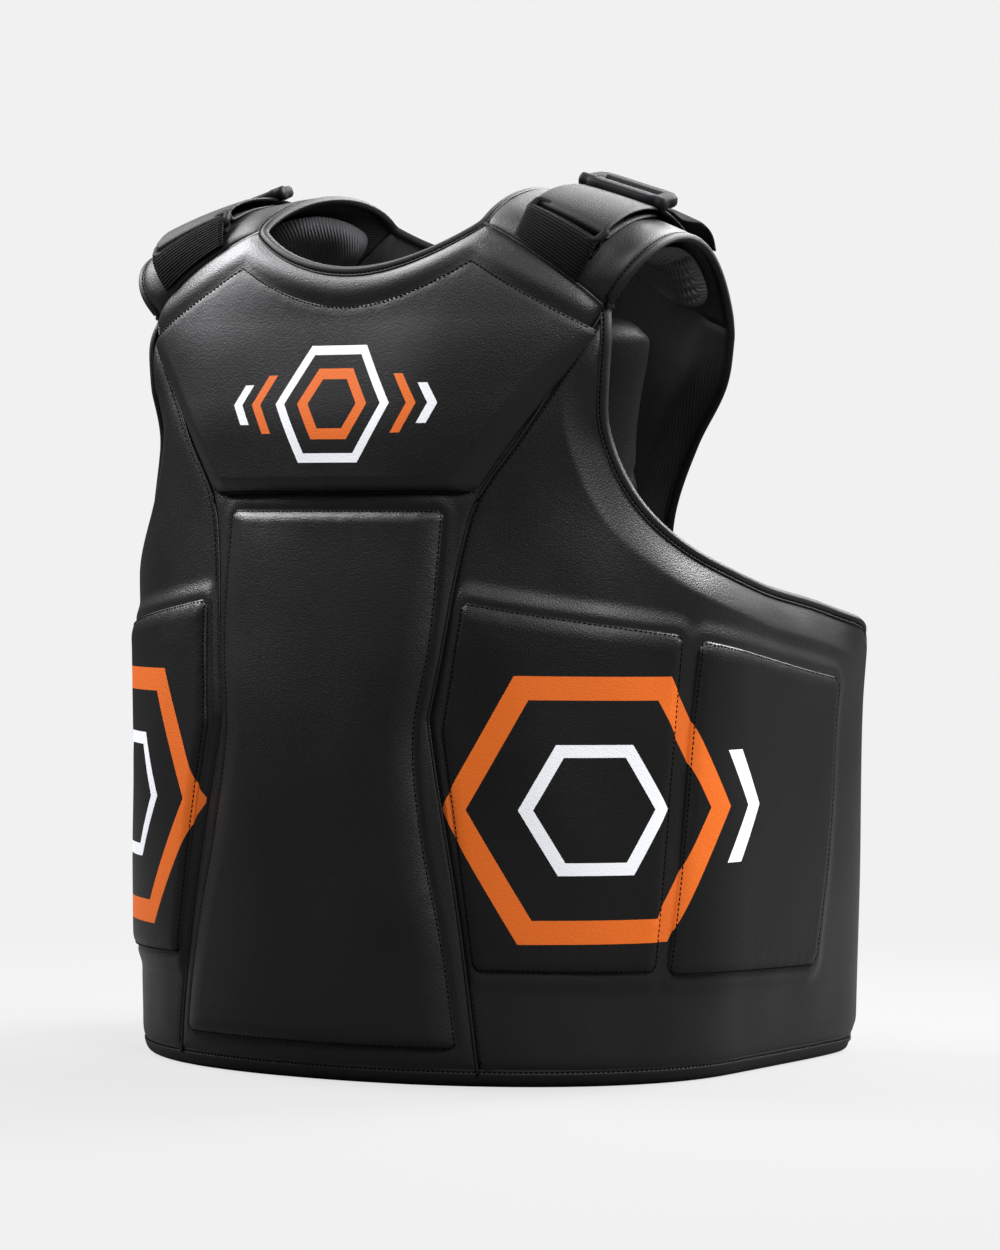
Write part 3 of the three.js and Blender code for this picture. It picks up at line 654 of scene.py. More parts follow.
u, v = grid(*FRONT_CELLS)
angle, level = front_patch(u, v)
flat = torso(angle, level)
neck_columns = slice(FRONT_CELLS[0] // 6, FRONT_CELLS[0] * 5 // 6 + 1)
neck_gap = away(flat, flat[-1, neck_columns])
seam_gap = side_gap(flat)
yoke_gap = shoulder_gap(flat, neck_columns)
hem_gap = level - SHELL_BOTTOM
lift = under_pads(angle, level, flat, [(chest_edge, CHEST_EDGE), (belly_edge, BELLY_EDGE)])
sinks = [bound_sink(neck_gap), bound_sink(hem_gap), seam_sink(seam_gap), seam_sink(yoke_gap)]
lift = lift - np.maximum.reduce(sinks) - seam_drop(level, seam_gap)
free = np.minimum(np.minimum(neck_gap, seam_gap), yoke_gap)
lift = lift + uneven(flat, free, FRONT_UNEVEN)
out = normal(torso, angle, level)
front_outer = flat + out * lift[..., None]
to_top = (1 - v) * (level[-1] - SHELL_BOTTOM)
depth = lerp(EDGE_WALL, WALL, smooth(to_top, 0, EDGE_TAPER))
depth = np.minimum(depth, lerp(RIM_WALL, WALL, smooth(neck_gap, 0, EDGE_TAPER)))
front_inner = flat - out * depth[..., None]
cloth = print_place(angle, level, PRINT_MIDDLE["chest"])
front_panel = wall("front_panel", front_outer, front_inner, "leather", PLAIN_LEATHER, LINING, cloth)
neck_rims = {"front": (front_outer[-1, neck_columns][::-1], front_inner[-1, neck_columns][::-1])}
hem_rims = {"front": (front_outer[0], front_inner[0])}

# Side panels: the rib wings, of the same padded wall, cut low under the arms and rounded at their ends.
# Along the armhole the wall slopes in to its bound edge.
ARMHOLE = {
    "share": (0, 0.12, 0.21, 0.34, 0.48, 0.66, 0.88, 1),
    "angle": (62, 61.4, 61.7, 67, 77, 95, 116.5, 130.4),
    "level": (489, 444, 412, 368, 336, 313, 296, 281),
}
WING_END = {"angle": 130.4, "bulge": 2, "squareness": 4, "roll": 0.27, "roll_width": 8, "corner": 14}
BEVEL = {"width": 26, "drop": 9, "power": 1.15, "fade": (400, 455), "end": (6, 60), "thicker": 2}
SIDE_SEAM_DROP = 1.5  # a wing falls to the column seam over a shorter way than the pad does
SIDE_SIZE, SIDE_CELLS = (320, 280), (160, 200)
SIDE_UNEVEN = {"height": 0.35, "gap": (4, 25), "length": 65, "seed": 8}
ARM_TURN_ROWS = 24  # the armhole's binding starts this many rows down the wing's end
SIDE_LEATHER = leather("printed_side_leather", PRINTS["ribs"])


def side_patch(u, v):
    """A side panel: a patch blended from its column seam, armhole, wing end and hem, less its corners."""
    seam_level = lerp(SHELL_BOTTOM, SHOULDER_CORNER[1], v)
    seam = curve(COLUMN_SEAM, seam_level)[0], seam_level
    armhole = curve(ARMHOLE, u)
    top_level = ARMHOLE["level"][-1]
    bulge = WING_END["bulge"] * (1 - (2 * v - 1) ** WING_END["squareness"])
    wing = WING_END["angle"] + bulge, lerp(SHELL_BOTTOM, top_level, v)
    start = curve(COLUMN_SEAM, SHELL_BOTTOM)[0]
    hem = lerp(start, WING_END["angle"], u), SHELL_BOTTOM
    corners = (
        (start, WING_END["angle"], SHOULDER_CORNER[0], ARMHOLE["angle"][-1]),
        (SHELL_BOTTOM, SHELL_BOTTOM, SHOULDER_CORNER[1], top_level),
    )
    found = []
    for k, (low_start, low_end, high_start, high_end) in enumerate(corners):
        ruled = lerp(hem[k], armhole[k], v) + lerp(seam[k], wing[k], u)
        found.append(ruled - lerp(lerp(low_start, low_end, u), lerp(high_start, high_end, u), v))
    return found[0] + SEAM_GAP_ANGLE, found[1]


u, v = grid(*SIDE_CELLS)
wing_u, wing_v = rounded(u, v, *SIDE_SIZE, WING_END["corner"])
ending = smooth(u, 0.5, 0.6)
angle, level = side_patch(lerp(u, wing_u, ending), lerp(v, wing_v, ending))
flat = torso(angle, level)
seam_gap = away(flat, flat[:, 0])
arm_gap = away(flat, flat[-1])
end_gap = away(flat, flat[:, -1])
hem_gap = away(flat, flat[0])
rib_sizes = [(edge, RIB_EDGE) for edge in rib_edges]
lift = under_pads(angle, level, flat, rib_sizes) * smooth(seam_gap, 0, 5)
lift = lift - bound_sink(hem_gap)
lift = lift - seam_sink(seam_gap)
fade = (1 - smooth(level, *BEVEL["fade"])) * smooth(end_gap, *BEVEL["end"])
slope = np.clip((BEVEL["width"] - arm_gap) / (BEVEL["width"] - BOUND["lip"]), 0, 1) ** BEVEL["power"]
bevel = np.maximum(BEVEL["drop"] * fade * slope, bound_sink(arm_gap))
lift = lift - seam_drop(level, SIDE_SEAM_DROP * seam_gap)
edge_wall = lerp(RIM_WALL, WALL, smooth(arm_gap, 0, EDGE_TAPER))
roll = WING_END["roll"] * edge_wall * dip(end_gap / WING_END["roll_width"])
lift = lift - bevel - roll
free = np.minimum(np.minimum(seam_gap, arm_gap), np.minimum(end_gap, hem_gap))
lift = lift + uneven(flat, free, SIDE_UNEVEN)
out = normal(torso, angle, level)
side_outer = flat + out * lift[..., None]
depth = np.minimum(edge_wall + bevel, WALL + BEVEL["thicker"]) - roll
side_inner = flat - out * depth[..., None]
cloth = print_place(angle, level, PRINT_MIDDLE["ribs"])
for word, mirror in SIDES.items():
    side = wall(f"side_panel_{word}", side_outer, side_inner, "leather", SIDE_LEATHER, LINING, cloth, mirror)
side_faces = (side_outer, side_inner)
arm_rims = {"side": tuple(np.vstack([face[-ARM_TURN_ROWS:-1, -1], face[-1, ::-1]]) for face in side_faces)}
hem_rims["side"] = (side_outer[0], side_inner[0])

# Welts: the folded edge of the front panel's leather, which stands as a fine cord in each column seam.
# They are sewn in with the seam.
WELT = {"radius": 1.0, "depth": 1.1, "sides": 8}


def cord(name, line, radius):
    """A cord of leather along a seam's line, on each side."""
    points, faces = tube(line, radius, WELT["sides"])
    for word, mirror in SIDES.items():
        build(f"{name}_{word}", points, [(part, PLAIN_LEATHER) for part in faces], "leather", None, mirror)


welt_level = np.linspace(SHELL_BOTTOM + 2, SHOULDER_CORNER[1] - 4, 190)
welt_lift = -WELT["depth"] - seam_drop(welt_level, 0)
cord("seam_welt", raised(torso, curve(COLUMN_SEAM, welt_level)[0], welt_level, welt_lift), WELT["radius"])

# Back panel: a thinner padded panel between the shoulders, cut narrow below the arms and left plain.
# It carries the yokes' rear ends.
SPINE = {
    "level": (60, 200, 300, 400, 480, 530, 565),
    "depth": (160, 160, 150, 118, 80, 58, 40),
}
SPINE_HALF_WIDTH = 240
BACK_HEM, BACK_WALL = 60, 14
BACK_CORNER = (188, 478)  # half width and level
BACK_NECK_SHARE = 0.4
BACK_NECK = {"half_width": BACK_CORNER[0] * BACK_NECK_SHARE, "level": 553, "dip": 530}
BACK_CUT = {"share": (0, 0.4, 0.7, 0.83, 0.92, 1), "half_width": (96, 84, 97, 134, 172, 188)}
BACK_SIZE, BACK_ROUND, BACK_CELLS = (190, 470), 22, (120, 160)
# Both faces roll in to the lower edge and stay a rim's thickness apart.
BACK_ROLL = {"depth": 6, "width": 8, "rim": 0.6}
BACK_UNEVEN = {"height": 0.3, "gap": (4, 25), "length": 65, "seed": 12}
BACK_LEATHER = leather("back_leather", rough=0.42, gloss=0.08)


def spine(across, level):
    """The back's outer face: at each level half an ellipse, from the right side to the left."""
    fall = np.sqrt(1 - (across / SPINE_HALF_WIDTH) ** 2)
    return np.stack([-across + 0 * level, curve(SPINE, level)[0] * fall, level + 0 * across], -1)


def back_patch(u, v):
    """The back panel: its half width is a curve through its table, its top dips to the neck."""
    side = 2 * u - 1
    width = np.abs(side) * BACK_CORNER[0]
    neck = BACK_NECK["dip"] + (BACK_NECK["level"] - BACK_NECK["dip"]) * (width / BACK_NECK["half_width"]) ** 2
    share = (width - BACK_NECK["half_width"]) / (BACK_CORNER[0] - BACK_NECK["half_width"])
    top = np.where(width < BACK_NECK["half_width"], neck, lerp(BACK_NECK["level"], BACK_CORNER[1], share))
    return side * curve(BACK_CUT, v)[0], lerp(BACK_HEM, top, v)


u, v = grid(*BACK_CELLS)
back_u, back_v = rounded(u, v, *BACK_SIZE, BACK_ROUND)
lower = 1 - smooth(v, 0.3, 0.4)
across, level = back_patch(lerp(u, back_u, lower), lerp(v, back_v, lower))
flat = spine(across, level)
neck_start = round(BACK_CELLS[0] * (1 - BACK_NECK_SHARE) / 2)
neck_columns = slice(neck_start, BACK_CELLS[0] - neck_start + 1)
neck_gap = away(flat, flat[-1, neck_columns])
edge_gap = side_gap(flat)
yoke_gap = shoulder_gap(flat, neck_columns)
low_roll = BACK_ROLL["depth"] * dip(away(flat, flat[0]) / BACK_ROLL["width"])
lift = -seam_sink(yoke_gap) - low_roll
for gap in (neck_gap, edge_gap):
    lift = np.minimum(lift, -bound_sink(gap))
lift = lift + uneven(flat, np.minimum(edge_gap, yoke_gap), BACK_UNEVEN)
out = normal(spine, across, level)
back_outer = flat + out * lift[..., None]
to_top = (1 - v) * (BACK_NECK["level"] - BACK_HEM)
depth = lerp(EDGE_WALL, BACK_WALL, smooth(to_top, 0, EDGE_TAPER)) - low_roll
depth = np.minimum(depth, lerp(RIM_WALL, BACK_WALL, smooth(np.minimum(edge_gap, neck_gap), 0, RIM_TAPER)))
depth = np.maximum(depth, BACK_ROLL["rim"] - lift)
back_inner = flat - out * depth[..., None]
cloth = np.stack([across, level], -1)
back_panel = wall("back_panel", back_outer, back_inner, "leather", BACK_LEATHER, LINING, cloth)
neck_rims["back"] = (back_outer[-1, neck_columns][::-1], back_inner[-1, neck_columns][::-1])
arm_rims["back"] = (back_outer[::-1, 0], back_inner[::-1, 0])

# Shoulder yokes: padded leather over each shoulder, sewn to the front and the back panel, which flare out
# to the arm. Each arc from seam to seam is a cubic Bezier curve.
GAP = 0.4
YOKE_STEPS = {
    "front": (np.array([-2, 36, 28]), np.array([46, -8, 58])),
    "back": (np.array([4, -32, 30]), np.array([4, -28, 84])),
}
YOKE_SIZE, YOKE_CELLS = (130, 190), (60, 110)
YOKE_UNEVEN = {"gap": (4, 20), "folds": 0.7, "ripples": 0.4, "length": 45, "seed": 21}
YOKE_LEATHER = leather("yoke_leather", rough=0.48)
YOKE_WELT = {"depth": 2.9, "radius": 1.5}  # the cord in the seams at both ends of a yoke


def back_seam(share):
    """The seam at a yoke's rear, from the neck to the shoulder's corner, as width and level."""
    width = lerp(BACK_NECK["half_width"], BACK_CORNER[0], share)
    return -width, lerp(BACK_NECK["level"], BACK_CORNER[1], share)


def bezier(start, lift, land, end, t):
    """A cubic Bezier curve from a start to an end, drawn towards the two points between them."""
    return (1 - t) ** 3 * start + 3 * t * (1 - t) ** 2 * lift + 3 * t * t * (1 - t) * land + t**3 * end


def yoke(share, along):
    """A yoke's outer face: Bezier arcs from the front seam to the back seam, by share from neck to arm."""
    angle, level = yoke_seam(share)
    start = torso(angle, level + GAP)
    across, back_level = back_seam(share)
    end = spine(across, back_level + GAP)
    s, t = np.asarray(share)[..., None], np.asarray(along)[..., None]
    lift, land = start + lerp(*YOKE_STEPS["front"], s), end + lerp(*YOKE_STEPS["back"], s)
    return bezier(start, lift, land, end, t)


def yoke_out(share, along):
    """Outward normals of a yoke, which turn to those of the panels at its two seams."""
    at_front = (1 - smooth(along, 0, 0.08))[..., None]
    at_back = smooth(along, 0.92, 1)[..., None]
    front, back = normal(torso, *yoke_seam(share)), normal(spine, *back_seam(share))
    return unit(normal(yoke, share, along) * (1 - at_front - at_back) + front * at_front + back * at_back)


u, v = grid(*YOKE_CELLS)
flat = yoke(u, v)
seam_gap = np.minimum(away(flat, flat[0]), away(flat, flat[-1]))
bound_gap = side_gap(flat)
lift = -seam_sink(seam_gap) - bound_sink(bound_gap)
folds = np.sin(2 * np.pi * (2.1 * u - 1.2 * v)) * smooth(u, 0.35, 0.75)
folds = folds * smooth(v, 0.02, 0.12) * (1 - smooth(v, 0.3, 0.6))
ripples = YOKE_UNEVEN["ripples"] * ripple(flat, YOKE_UNEVEN["length"], YOKE_UNEVEN["seed"])
lift = lift + smooth(bound_gap, *YOKE_UNEVEN["gap"]) * (YOKE_UNEVEN["folds"] * folds + ripples)
out = yoke_out(u, v)
lift = lift - seam_drop(SHOULDER_CORNER[1], np.linalg.norm(flat - flat[0, -1], axis=-1))
yoke_outer = flat + out * lift[..., None]
yoke_inner = flat - out * lerp(RIM_WALL, EDGE_WALL, smooth(bound_gap, 0, RIM_TAPER))[..., None]
cloth = np.stack([u * YOKE_SIZE[0], v * YOKE_SIZE[1]], -1)
for word, mirror in SIDES.items():
    piece = wall(f"yoke_{word}", yoke_outer, yoke_inner, "leather", YOKE_LEATHER, LINING, cloth, mirror)
seam_share = np.linspace(0.02, 0.995, 90)
corner_gap = np.linalg.norm(torso(*yoke_seam(seam_share)) - torso(*SHOULDER_CORNER), axis=-1)
front_lift = -YOKE_WELT["depth"] - seam_drop(SHOULDER_CORNER[1], corner_gap)
rear_lift = np.full(seam_share.shape, -YOKE_WELT["depth"])
cord("yoke_welt_front", raised(torso, *yoke_seam(seam_share), front_lift), YOKE_WELT["radius"])
cord("yoke_welt_rear", raised(spine, *back_seam(seam_share), rear_lift), YOKE_WELT["radius"])
neck_rims["yoke"] = (yoke_outer[:, 0], yoke_inner[:, 0])
arm_rims["yoke"] = (yoke_outer[:, -1], yoke_inner[:, -1])

# Yoke cushions: rounded foam pads in ribbed lining cloth under the yokes, where they rest on the shoulder.
# Their cloth is gathered towards the arm.
CUSHION = {"seat": 1.8, "thickness": 15, "neck": 0.12, "arm": 0.955, "front": 0.33, "back": 0.975}
CUSHION_SIZE, CUSHION_CORNER, CUSHION_CELLS = (100, 120), 26, (60, 80)
CUSHION_ROLL = {"width": 24, "rim": 0.6}  # its edge rolls over this width and keeps a rim
CUSHION_GATHER = {"count": 11, "depth": 1.7}
CUSHION_CREASE = {"along": 0.42, "slant": 0.1, "width": 0.06, "depth": 0.9}  # in shares of its length
CUSHION_UNEVEN = {"height": 0.6, "length": 30, "seed": 31}
# The cushions' cloth is the lining painted 2.4 times lighter: painted light standing in for light that the
# shade under the yokes keeps off.
PAINTED_LIGHT_CUSHION_CLOTH = lining("cushion_cloth_painted_light", 420.0, 240.0, 2.4, 0.9)
u, v = grid(*CUSHION_CELLS)
cushion_u, cushion_v = rounded(u, v, *CUSHION_SIZE, CUSHION_CORNER)
share = lerp(CUSHION["neck"], CUSHION["arm"], cushion_u)
along = lerp(CUSHION["front"], CUSHION["back"], cushion_v)
flat = yoke(share, along)
gap = away(flat, closed(border(flat)))
out = normal(yoke, share, along)
puff = 1 - dip(gap / CUSHION_ROLL["width"])
gather = np.sin(2 * np.pi * CUSHION_GATHER["count"] * v + 2.5 * np.sin(3 * u))
gather = gather * smooth(u, 0.35, 0.9) * (1 - smooth(gap, 8, 34))
crease = v - CUSHION_CREASE["along"] - CUSHION_CREASE["slant"] * u
crease = np.exp(-((crease / CUSHION_CREASE["width"]) ** 2)) * smooth(u, 0.3, 0.75)
under = CUSHION["thickness"] * puff * (1 - CUSHION_CREASE["depth"] * crease)
under = under + CUSHION_GATHER["depth"] * gather * smooth(gap, 0, 5)
under = under + CUSHION_UNEVEN["height"] * ripple(flat, CUSHION_UNEVEN["length"], CUSHION_UNEVEN["seed"])
upper = flat - out * (EDGE_WALL + CUSHION["seat"])
lower = upper - out * np.maximum(under, CUSHION_ROLL["rim"])[..., None]
faces = (lower[:, ::-1], upper[:, ::-1])
cloth = np.stack([u * CUSHION_SIZE[0], v * CUSHION_SIZE[1]], -1)
for word, mirror in SIDES.items():
    piece = wall(f"yoke_cushion_{word}", *faces, "lining", PAINTED_LIGHT_CUSHION_CLOTH, PAINTED_LIGHT_CUSHION_CLOTH, cloth, mirror)

# Inner chest pad: a thick soft pad behind the shell at chest height that lies on the wearer's chest.
# Its leather is gathered at the upper corners and has a seam across its lower part.
INNER = {"half_angle": 65.6, "bottom": 350, "top": 494, "depth": 52, "roll": 24, "seam": 385, "corner": 26}
INNER_ENDS = {"share": (0, 0.35, 0.75, 1), "angle": (63.6, 62.6, 64.8, 66)}
INNER_SIZE, INNER_CELLS = (290, 139), (160, 60)
INNER_SEAM = {"depth": 3.0, "width": 4}
INNER_TUCK = {"depth": 2.5, "width": 3, "drop": 15}  # a second groove, this far below its top
INNER_GATHER = {"depth": 2.2, "count": 11, "reach": (10, 48)}
INNER_UNEVEN = {"height": 1.2, "length": 50, "seed": 41}
u, v = grid(*INNER_CELLS)
inner_u, inner_v = rounded(u, v, *INNER_SIZE, INNER["corner"])
angle, level = (2 * inner_u - 1) * curve(INNER_ENDS, inner_v)[0], lerp(INNER["bottom"], INNER["top"], inner_v)
flat = torso(angle, level)
gap = away(flat, closed(border(flat)))
front = raised(torso, angle, level, np.full(angle.shape, -WALL - SEAT))
turned = INNER["roll"] * dip(gap / INNER["roll"])
to_end, to_top = (INNER["half_angle"] - np.abs(angle)) * MM_PER_DEGREE, INNER["top"] - level
groove = INNER_SEAM["depth"] * np.exp(-(((level - INNER["seam"]) / INNER_SEAM["width"]) ** 2))
tuck = INNER_TUCK["depth"] * np.exp(-(((to_top - INNER_TUCK["drop"]) / INNER_TUCK["width"]) ** 2))
corner_gap, swirl = np.hypot(to_end, to_top), np.arctan2(to_end + 4, to_top + 4)
gather = INNER_GATHER["depth"] * np.sin(INNER_GATHER["count"] * swirl)
gather = gather * (1 - smooth(corner_gap, *INNER_GATHER["reach"])) * smooth(gap, 0, 8)
ripples = INNER_UNEVEN["height"] * ripple(flat, INNER_UNEVEN["length"], INNER_UNEVEN["seed"])
depth = INNER["depth"] - turned - (groove + tuck) + gather + ripples
backwards = np.array([0, 1.0, 0])
pad_front = front + backwards * (turned * 0.9)[..., None]
pad_back = front + backwards * depth[..., None]
cloth = np.stack([angle * MM_PER_DEGREE, level], -1)
faces = (pad_back[:, ::-1], pad_front[:, ::-1])
inner_pad = wall("inner_chest_pad", *faces, "lining", BACK_LEATHER, BACK_LEATHER, cloth)

# Neck and armhole bindings: strips of soft leather folded over the panels' edges and topstitched.
# Each is a rolled profile carried along the edge: a lip on both faces and a round roll over the edge.
BINDING_ROLL = {
    "step": (0, 1, 2, 3, 4, 5, 6, 7, 8, 9, 10),
    "side": (1, 1, 1, 1, 1, 0, -1, -1, -1, -1, -1),
    "extra": (0.4, 1.0, 0.4, 1.1, 1.3, 0, 1.3, 1.1, 0.4, 1.0, 0.4),
    "away": (-4.6, -4.0, -2.8, -1.8, 0.8, 3.0, 0.8, -1.8, -2.8, -4.0, -4.6),
}


def binding_leather():
    """Soft black leather of the bindings, with finer wrinkles and less shine than the panels'."""
    made, shader, place = material("binding_leather", Specular_IOR_Level=0.22)
    wrinkle = place.noise(900.0, 3.0)
    clouds = place.noise(30.0, 3.0)
    clouds.mixed((0.006, 0.006, 0.007, 1), (0.012, 0.012, 0.013, 1)).feeds(shader, "Base Color")
    (0.50 + clouds * 0.12).feeds(shader, "Roughness")
    place.bump(wrinkle, 0.25, 0.0003).feeds(shader, "Normal")
    return made


BINDING = binding_leather()


def evened(line, spacing, ring, passes=4):
    """A line's points spread evenly and softened: each pass takes a quarter, a half and a quarter."""
    if ring:
        line = closed(line)
    travel = travelled((line[:, :3] + line[:, 3:]) / 2)
    count = int(travel[-1] / spacing)
    at = np.linspace(0, travel[-1], count + 1)
    line = np.stack([np.interp(at, travel, column) for column in line.T], -1)
    if ring:
        line = line[:-1]
    for _ in range(passes):
        before, after = np.roll(line, 1, 0), np.roll(line, -1, 0)
        softer = (before + 2 * line + after) / 4
        line = softer if ring else np.vstack([line[:1], softer[1:-1], line[-1:]])
    return line


def swept(rims, profile, inside, ring, spacing=2.5, tuck=12):
    """A profile carried along pairs of outside and inside points: side is a share of half the wall from its
    middle, extra mm out from there, away mm off the edge. The inside profile closes the strip, and an open
    strip's ends narrow and tuck into the edge."""
    line = np.vstack([np.hstack(rim) for rim in rims])
    line = evened(line, spacing, ring)
    outside, within_wall = line[:, :3], line[:, 3:]
    middle, span = (outside + within_wall) / 2, outside - within_wall
    half, across = np.linalg.norm(span, axis=1) / 2, unit(span)
    if ring:
        travel = unit(np.roll(middle, -1, 0) - np.roll(middle, 1, 0))
    else:
        travel = unit(np.gradient(middle, axis=0))
    off = unit(np.cross(travel, across))
    steps = np.linspace(0, profile["step"][-1], 4 * len(profile["step"]) - 3)
    side, extra, gone = (np.concatenate(c) for c in zip(curve(profile, steps), inside))
    order = np.arange(len(middle))
    end = np.minimum(order, order[::-1]) * spacing
    full = np.ones((len(middle), 1)) if ring else smooth(end, -3, tuck)[:, None]
    out_by = (side * half[:, None] + np.sign(side) * extra) * lerp(0.3, 1, full)
    gone = lerp(-4, gone, full)
    points = middle[:, None] + across[:, None] * out_by[..., None] + off[:, None] * gone[..., None]
    return points, across


def strip(name, points, slot, cover, ring, mirror=False):
    """A closed strip: rings of a closed profile along a line, with its ends closed unless it is a ring."""
    count, sides = points.shape[:2]
    cells = np.arange(count * sides).reshape(count, sides)
    cells = np.hstack([cells, cells[:, :1]])
    body = faces_of(np.vstack([cells, cells[:1]]) if ring else cells)
    groups = [(body, cover)]
    flat = points.reshape(-1, 3)
    if not ring:
        hubs = np.stack([points[0].mean(0), points[-1].mean(0)])
        first, last = cells[0, :-1], cells[-1, :-1]
        start = np.stack([np.roll(first, -1), first, np.full(sides, len(flat))], -1)
        end = np.stack([last, np.roll(last, -1), np.full(sides, len(flat) + 1)], -1)
        flat = np.vstack([flat, hubs])
        groups.append((np.concatenate([start, end]), cover))
    build(name, flat, groups, slot, None, mirror)


def flipped(rim):
    """A rim on the wearer's right side."""
    return tuple(points * (-1, 1, 1) for points in rim)


def backwards_along(rim):
    """A rim run the other way."""
    return tuple(points[::-1] for points in rim)


BINDING_INSIDE = (
    np.array([-1, -1, -0.6, 0.6, 1, 1]),
    np.array([0.1, 0.1, 0, 0, 0.1, 0.1]),
    np.array([-4.1, 0.2, 0.5, 0.5, 0.2, -4.1]),
)
neck = [neck_rims["front"], flipped(neck_rims["yoke"]), neck_rims["back"], backwards_along(neck_rims["yoke"])]
neck_points, neck_across = swept(neck, BINDING_ROLL, BINDING_INSIDE, True)
strip("neck_binding", neck_points, "binding", BINDING, True)
arm = [arm_rims["side"], arm_rims["yoke"], arm_rims["back"]]
arm_points, arm_across = swept(arm, BINDING_ROLL, BINDING_INSIDE, False)
for word, mirror in SIDES.items():
    strip(f"armhole_binding_{word}", arm_points, "binding", BINDING, False, mirror)

# Hem binding: a wider strip of the same leather folded round the hem of both wings and the front panel.
# Its sole is flat, because the protector stands on it.
HEM_ROLL = {
    "step": (0, 1, 2, 3, 4, 5, 6, 7, 8, 9, 10, 11, 12),
    "side": (1, 1, 1, 1, 0.84, 0.5, 0, -0.5, -0.84, -1, -1, -1, -1),
    "extra": (0.2, 0.4, 0.2, 0.7, 0.4, 0, 0, 0, 0.4, 0.7, 0.2, 0.4, 0.2),
    "away": (-4.8, -4.3, -3.2, -1.6, 3.8, 6.4, 6.4, 6.4, 3.8, -1.6, -3.2, -4.3, -4.8),
}
hem = [backwards_along(flipped(hem_rims["side"])), hem_rims["front"], hem_rims["side"]]
hem_points, hem_across = swept(hem, HEM_ROLL, BINDING_INSIDE, False)
hem_points[..., 2] = np.maximum(hem_points[..., 2], -AXIS[2])
strip("hem_binding", hem_points, "binding", BINDING, False)

# Shoulder straps: on each shoulder a ribbed webbing anchor sewn into the yoke's seam and folded round a
# loop's bar, a leather-faced strap from the loop's other bar over the yoke, and the strap's free tail.
STRAP = {"neck": 0.33, "arm": 0.8, "width": 52, "thickness": 2.2, "edge": 1.5}
ANCHOR_RUN = {
    "step": (0, 1, 2, 3, 4, 5, 6, 7),
    "along": (0.012, 0.05, 0.095, 0.132, 0.152, 0.158, 0.144, 0.10),
    "lift": (1.2, 2.8, 5.4, 7.8, 7.4, 4.4, 1.4, 1.2),
}
STRAP_RUN = {
    "step": (0, 1, 2, 3, 4, 5, 6, 7, 8, 9),
    "along": (0.50, 0.40, 0.27, 0.200, 0.189, 0.198, 0.26, 0.5, 0.7, 0.985),
    "lift": (2.4, 1.6, 1.3, 2.4, 5.0, 7.8, 8.6, 6.8, 3.6, 1.3),
}
TAIL_RUN = {
    "step": (0, 1, 2, 3, 4, 5),
    "along": (0.60, 0.655, 0.70, 0.755, 0.81, 0.86),
    "lift": (7.6, 7.4, 10.5, 16.5, 18.5, 16.5),
}
RIB_PITCH, THREAD_PITCH = 1.9, 1.1
STRAP_LEATHER = leather("strap_leather", rough=0.62, gloss=0.3)


def webbing():
    """Woven black webbing: fine threads both ways and a matte colour; a strap's ribs are in its mesh."""
    made, shader, place = material("black_webbing", Roughness=0.85, Specular_IOR_Level=0.1)
    x, y = place.cloth()
    lengthways = x.math("SINE", x * (2 * np.pi / (THREAD_PITCH * MM))) * 0.25
    threads = lengthways + y.math("SINE", y * (2 * np.pi / (RIB_PITCH * MM)))
    clouds = place.noise(300.0, 3.0)
    clouds.mixed((0.0015, 0.0015, 0.002, 1), (0.0045, 0.0045, 0.005, 1)).feeds(shader, "Base Color")
    place.bump(threads, 0.6, 0.0003).feeds(shader, "Normal")
    return made


WEBBING = webbing()


def band(name, run, cells, cover, slot, ribs=0.0, mirror=False):
    """A strap: a sheet along a run over the yoke, half its thickness to each side, with rounded edges."""
    u, v = grid(*cells)
    along, lift = curve(run, v * run["step"][-1])
    middle = raised(yoke, lerp(STRAP["neck"], STRAP["arm"], u), along, lift)
    out = unit(np.cross(np.gradient(middle, axis=1), np.gradient(middle, axis=0)))
    edge = np.minimum(u, 1 - u) * STRAP["width"]
    half = STRAP["thickness"] / 2 * (0.45 + 0.55 * (1 - dip(edge / STRAP["edge"])))
    far = travelled(middle[:, cells[0] // 2])
    ribbing = ribs * np.abs(np.sin(np.pi * far / RIB_PITCH))[:, None]
    side = out * (half + ribbing)[..., None]
    cloth = np.stack([u * STRAP["width"], far[:, None] + 0 * u], -1)
    piece = wall(name, middle + side, middle - side, slot, cover, cover, cloth, mirror)


for word, mirror in SIDES.items():
    for name, run, cells, cover, slot, ribs in (
        ("strap_anchor", ANCHOR_RUN, (20, 260), WEBBING, "webbing", 0.35),
        ("shoulder_strap", STRAP_RUN, (32, 160), STRAP_LEATHER, "leather", 0),
        ("strap_tail", TAIL_RUN, (24, 60), WEBBING, "leather", 0.15),
    ):
        band(f"{name}_{word}", run, cells, cover, slot, ribs, mirror)

# Loops and slides: moulded plastic frames of squarish bar. The slide also has a round bar across its middle,
# which the strap draws over, and a round knob at both ends of its front bar. The loop joins strap and anchor.
LOOP = {"along": 0.173, "lift": 5.0, "width": 63, "length": 17, "bar": 4.4, "tall": 4.6, "tilt": 4}
SLIDE = {"along": 0.54, "lift": 12.0, "width": 66, "length": 26, "bar": 11.3, "tall": 8.4, "tilt": 17}
SLIDE_BAR = {"radius": 2.4, "inset": 3}
SLIDE_KNOB = {"radius": 4.7, "inset": 9, "past": 1}
BAR_SIDES = 14


def plastic():
    """Black moulded plastic: a fine spark-eroded texture and a satin gloss."""
    made, shader, place = material("black_plastic", Specular_IOR_Level=0.07)
    texture = place.noise(1800.0, 2.0)
    clouds = place.noise(40.0, 2.0)
    clouds.mixed((0.004, 0.004, 0.005, 1), (0.008, 0.008, 0.009, 1)).feeds(shader, "Base Color")
    (0.52 + texture * 0.16).feeds(shader, "Roughness")
    place.bump(texture, 0.12, 0.0002).feeds(shader, "Normal")
    return made


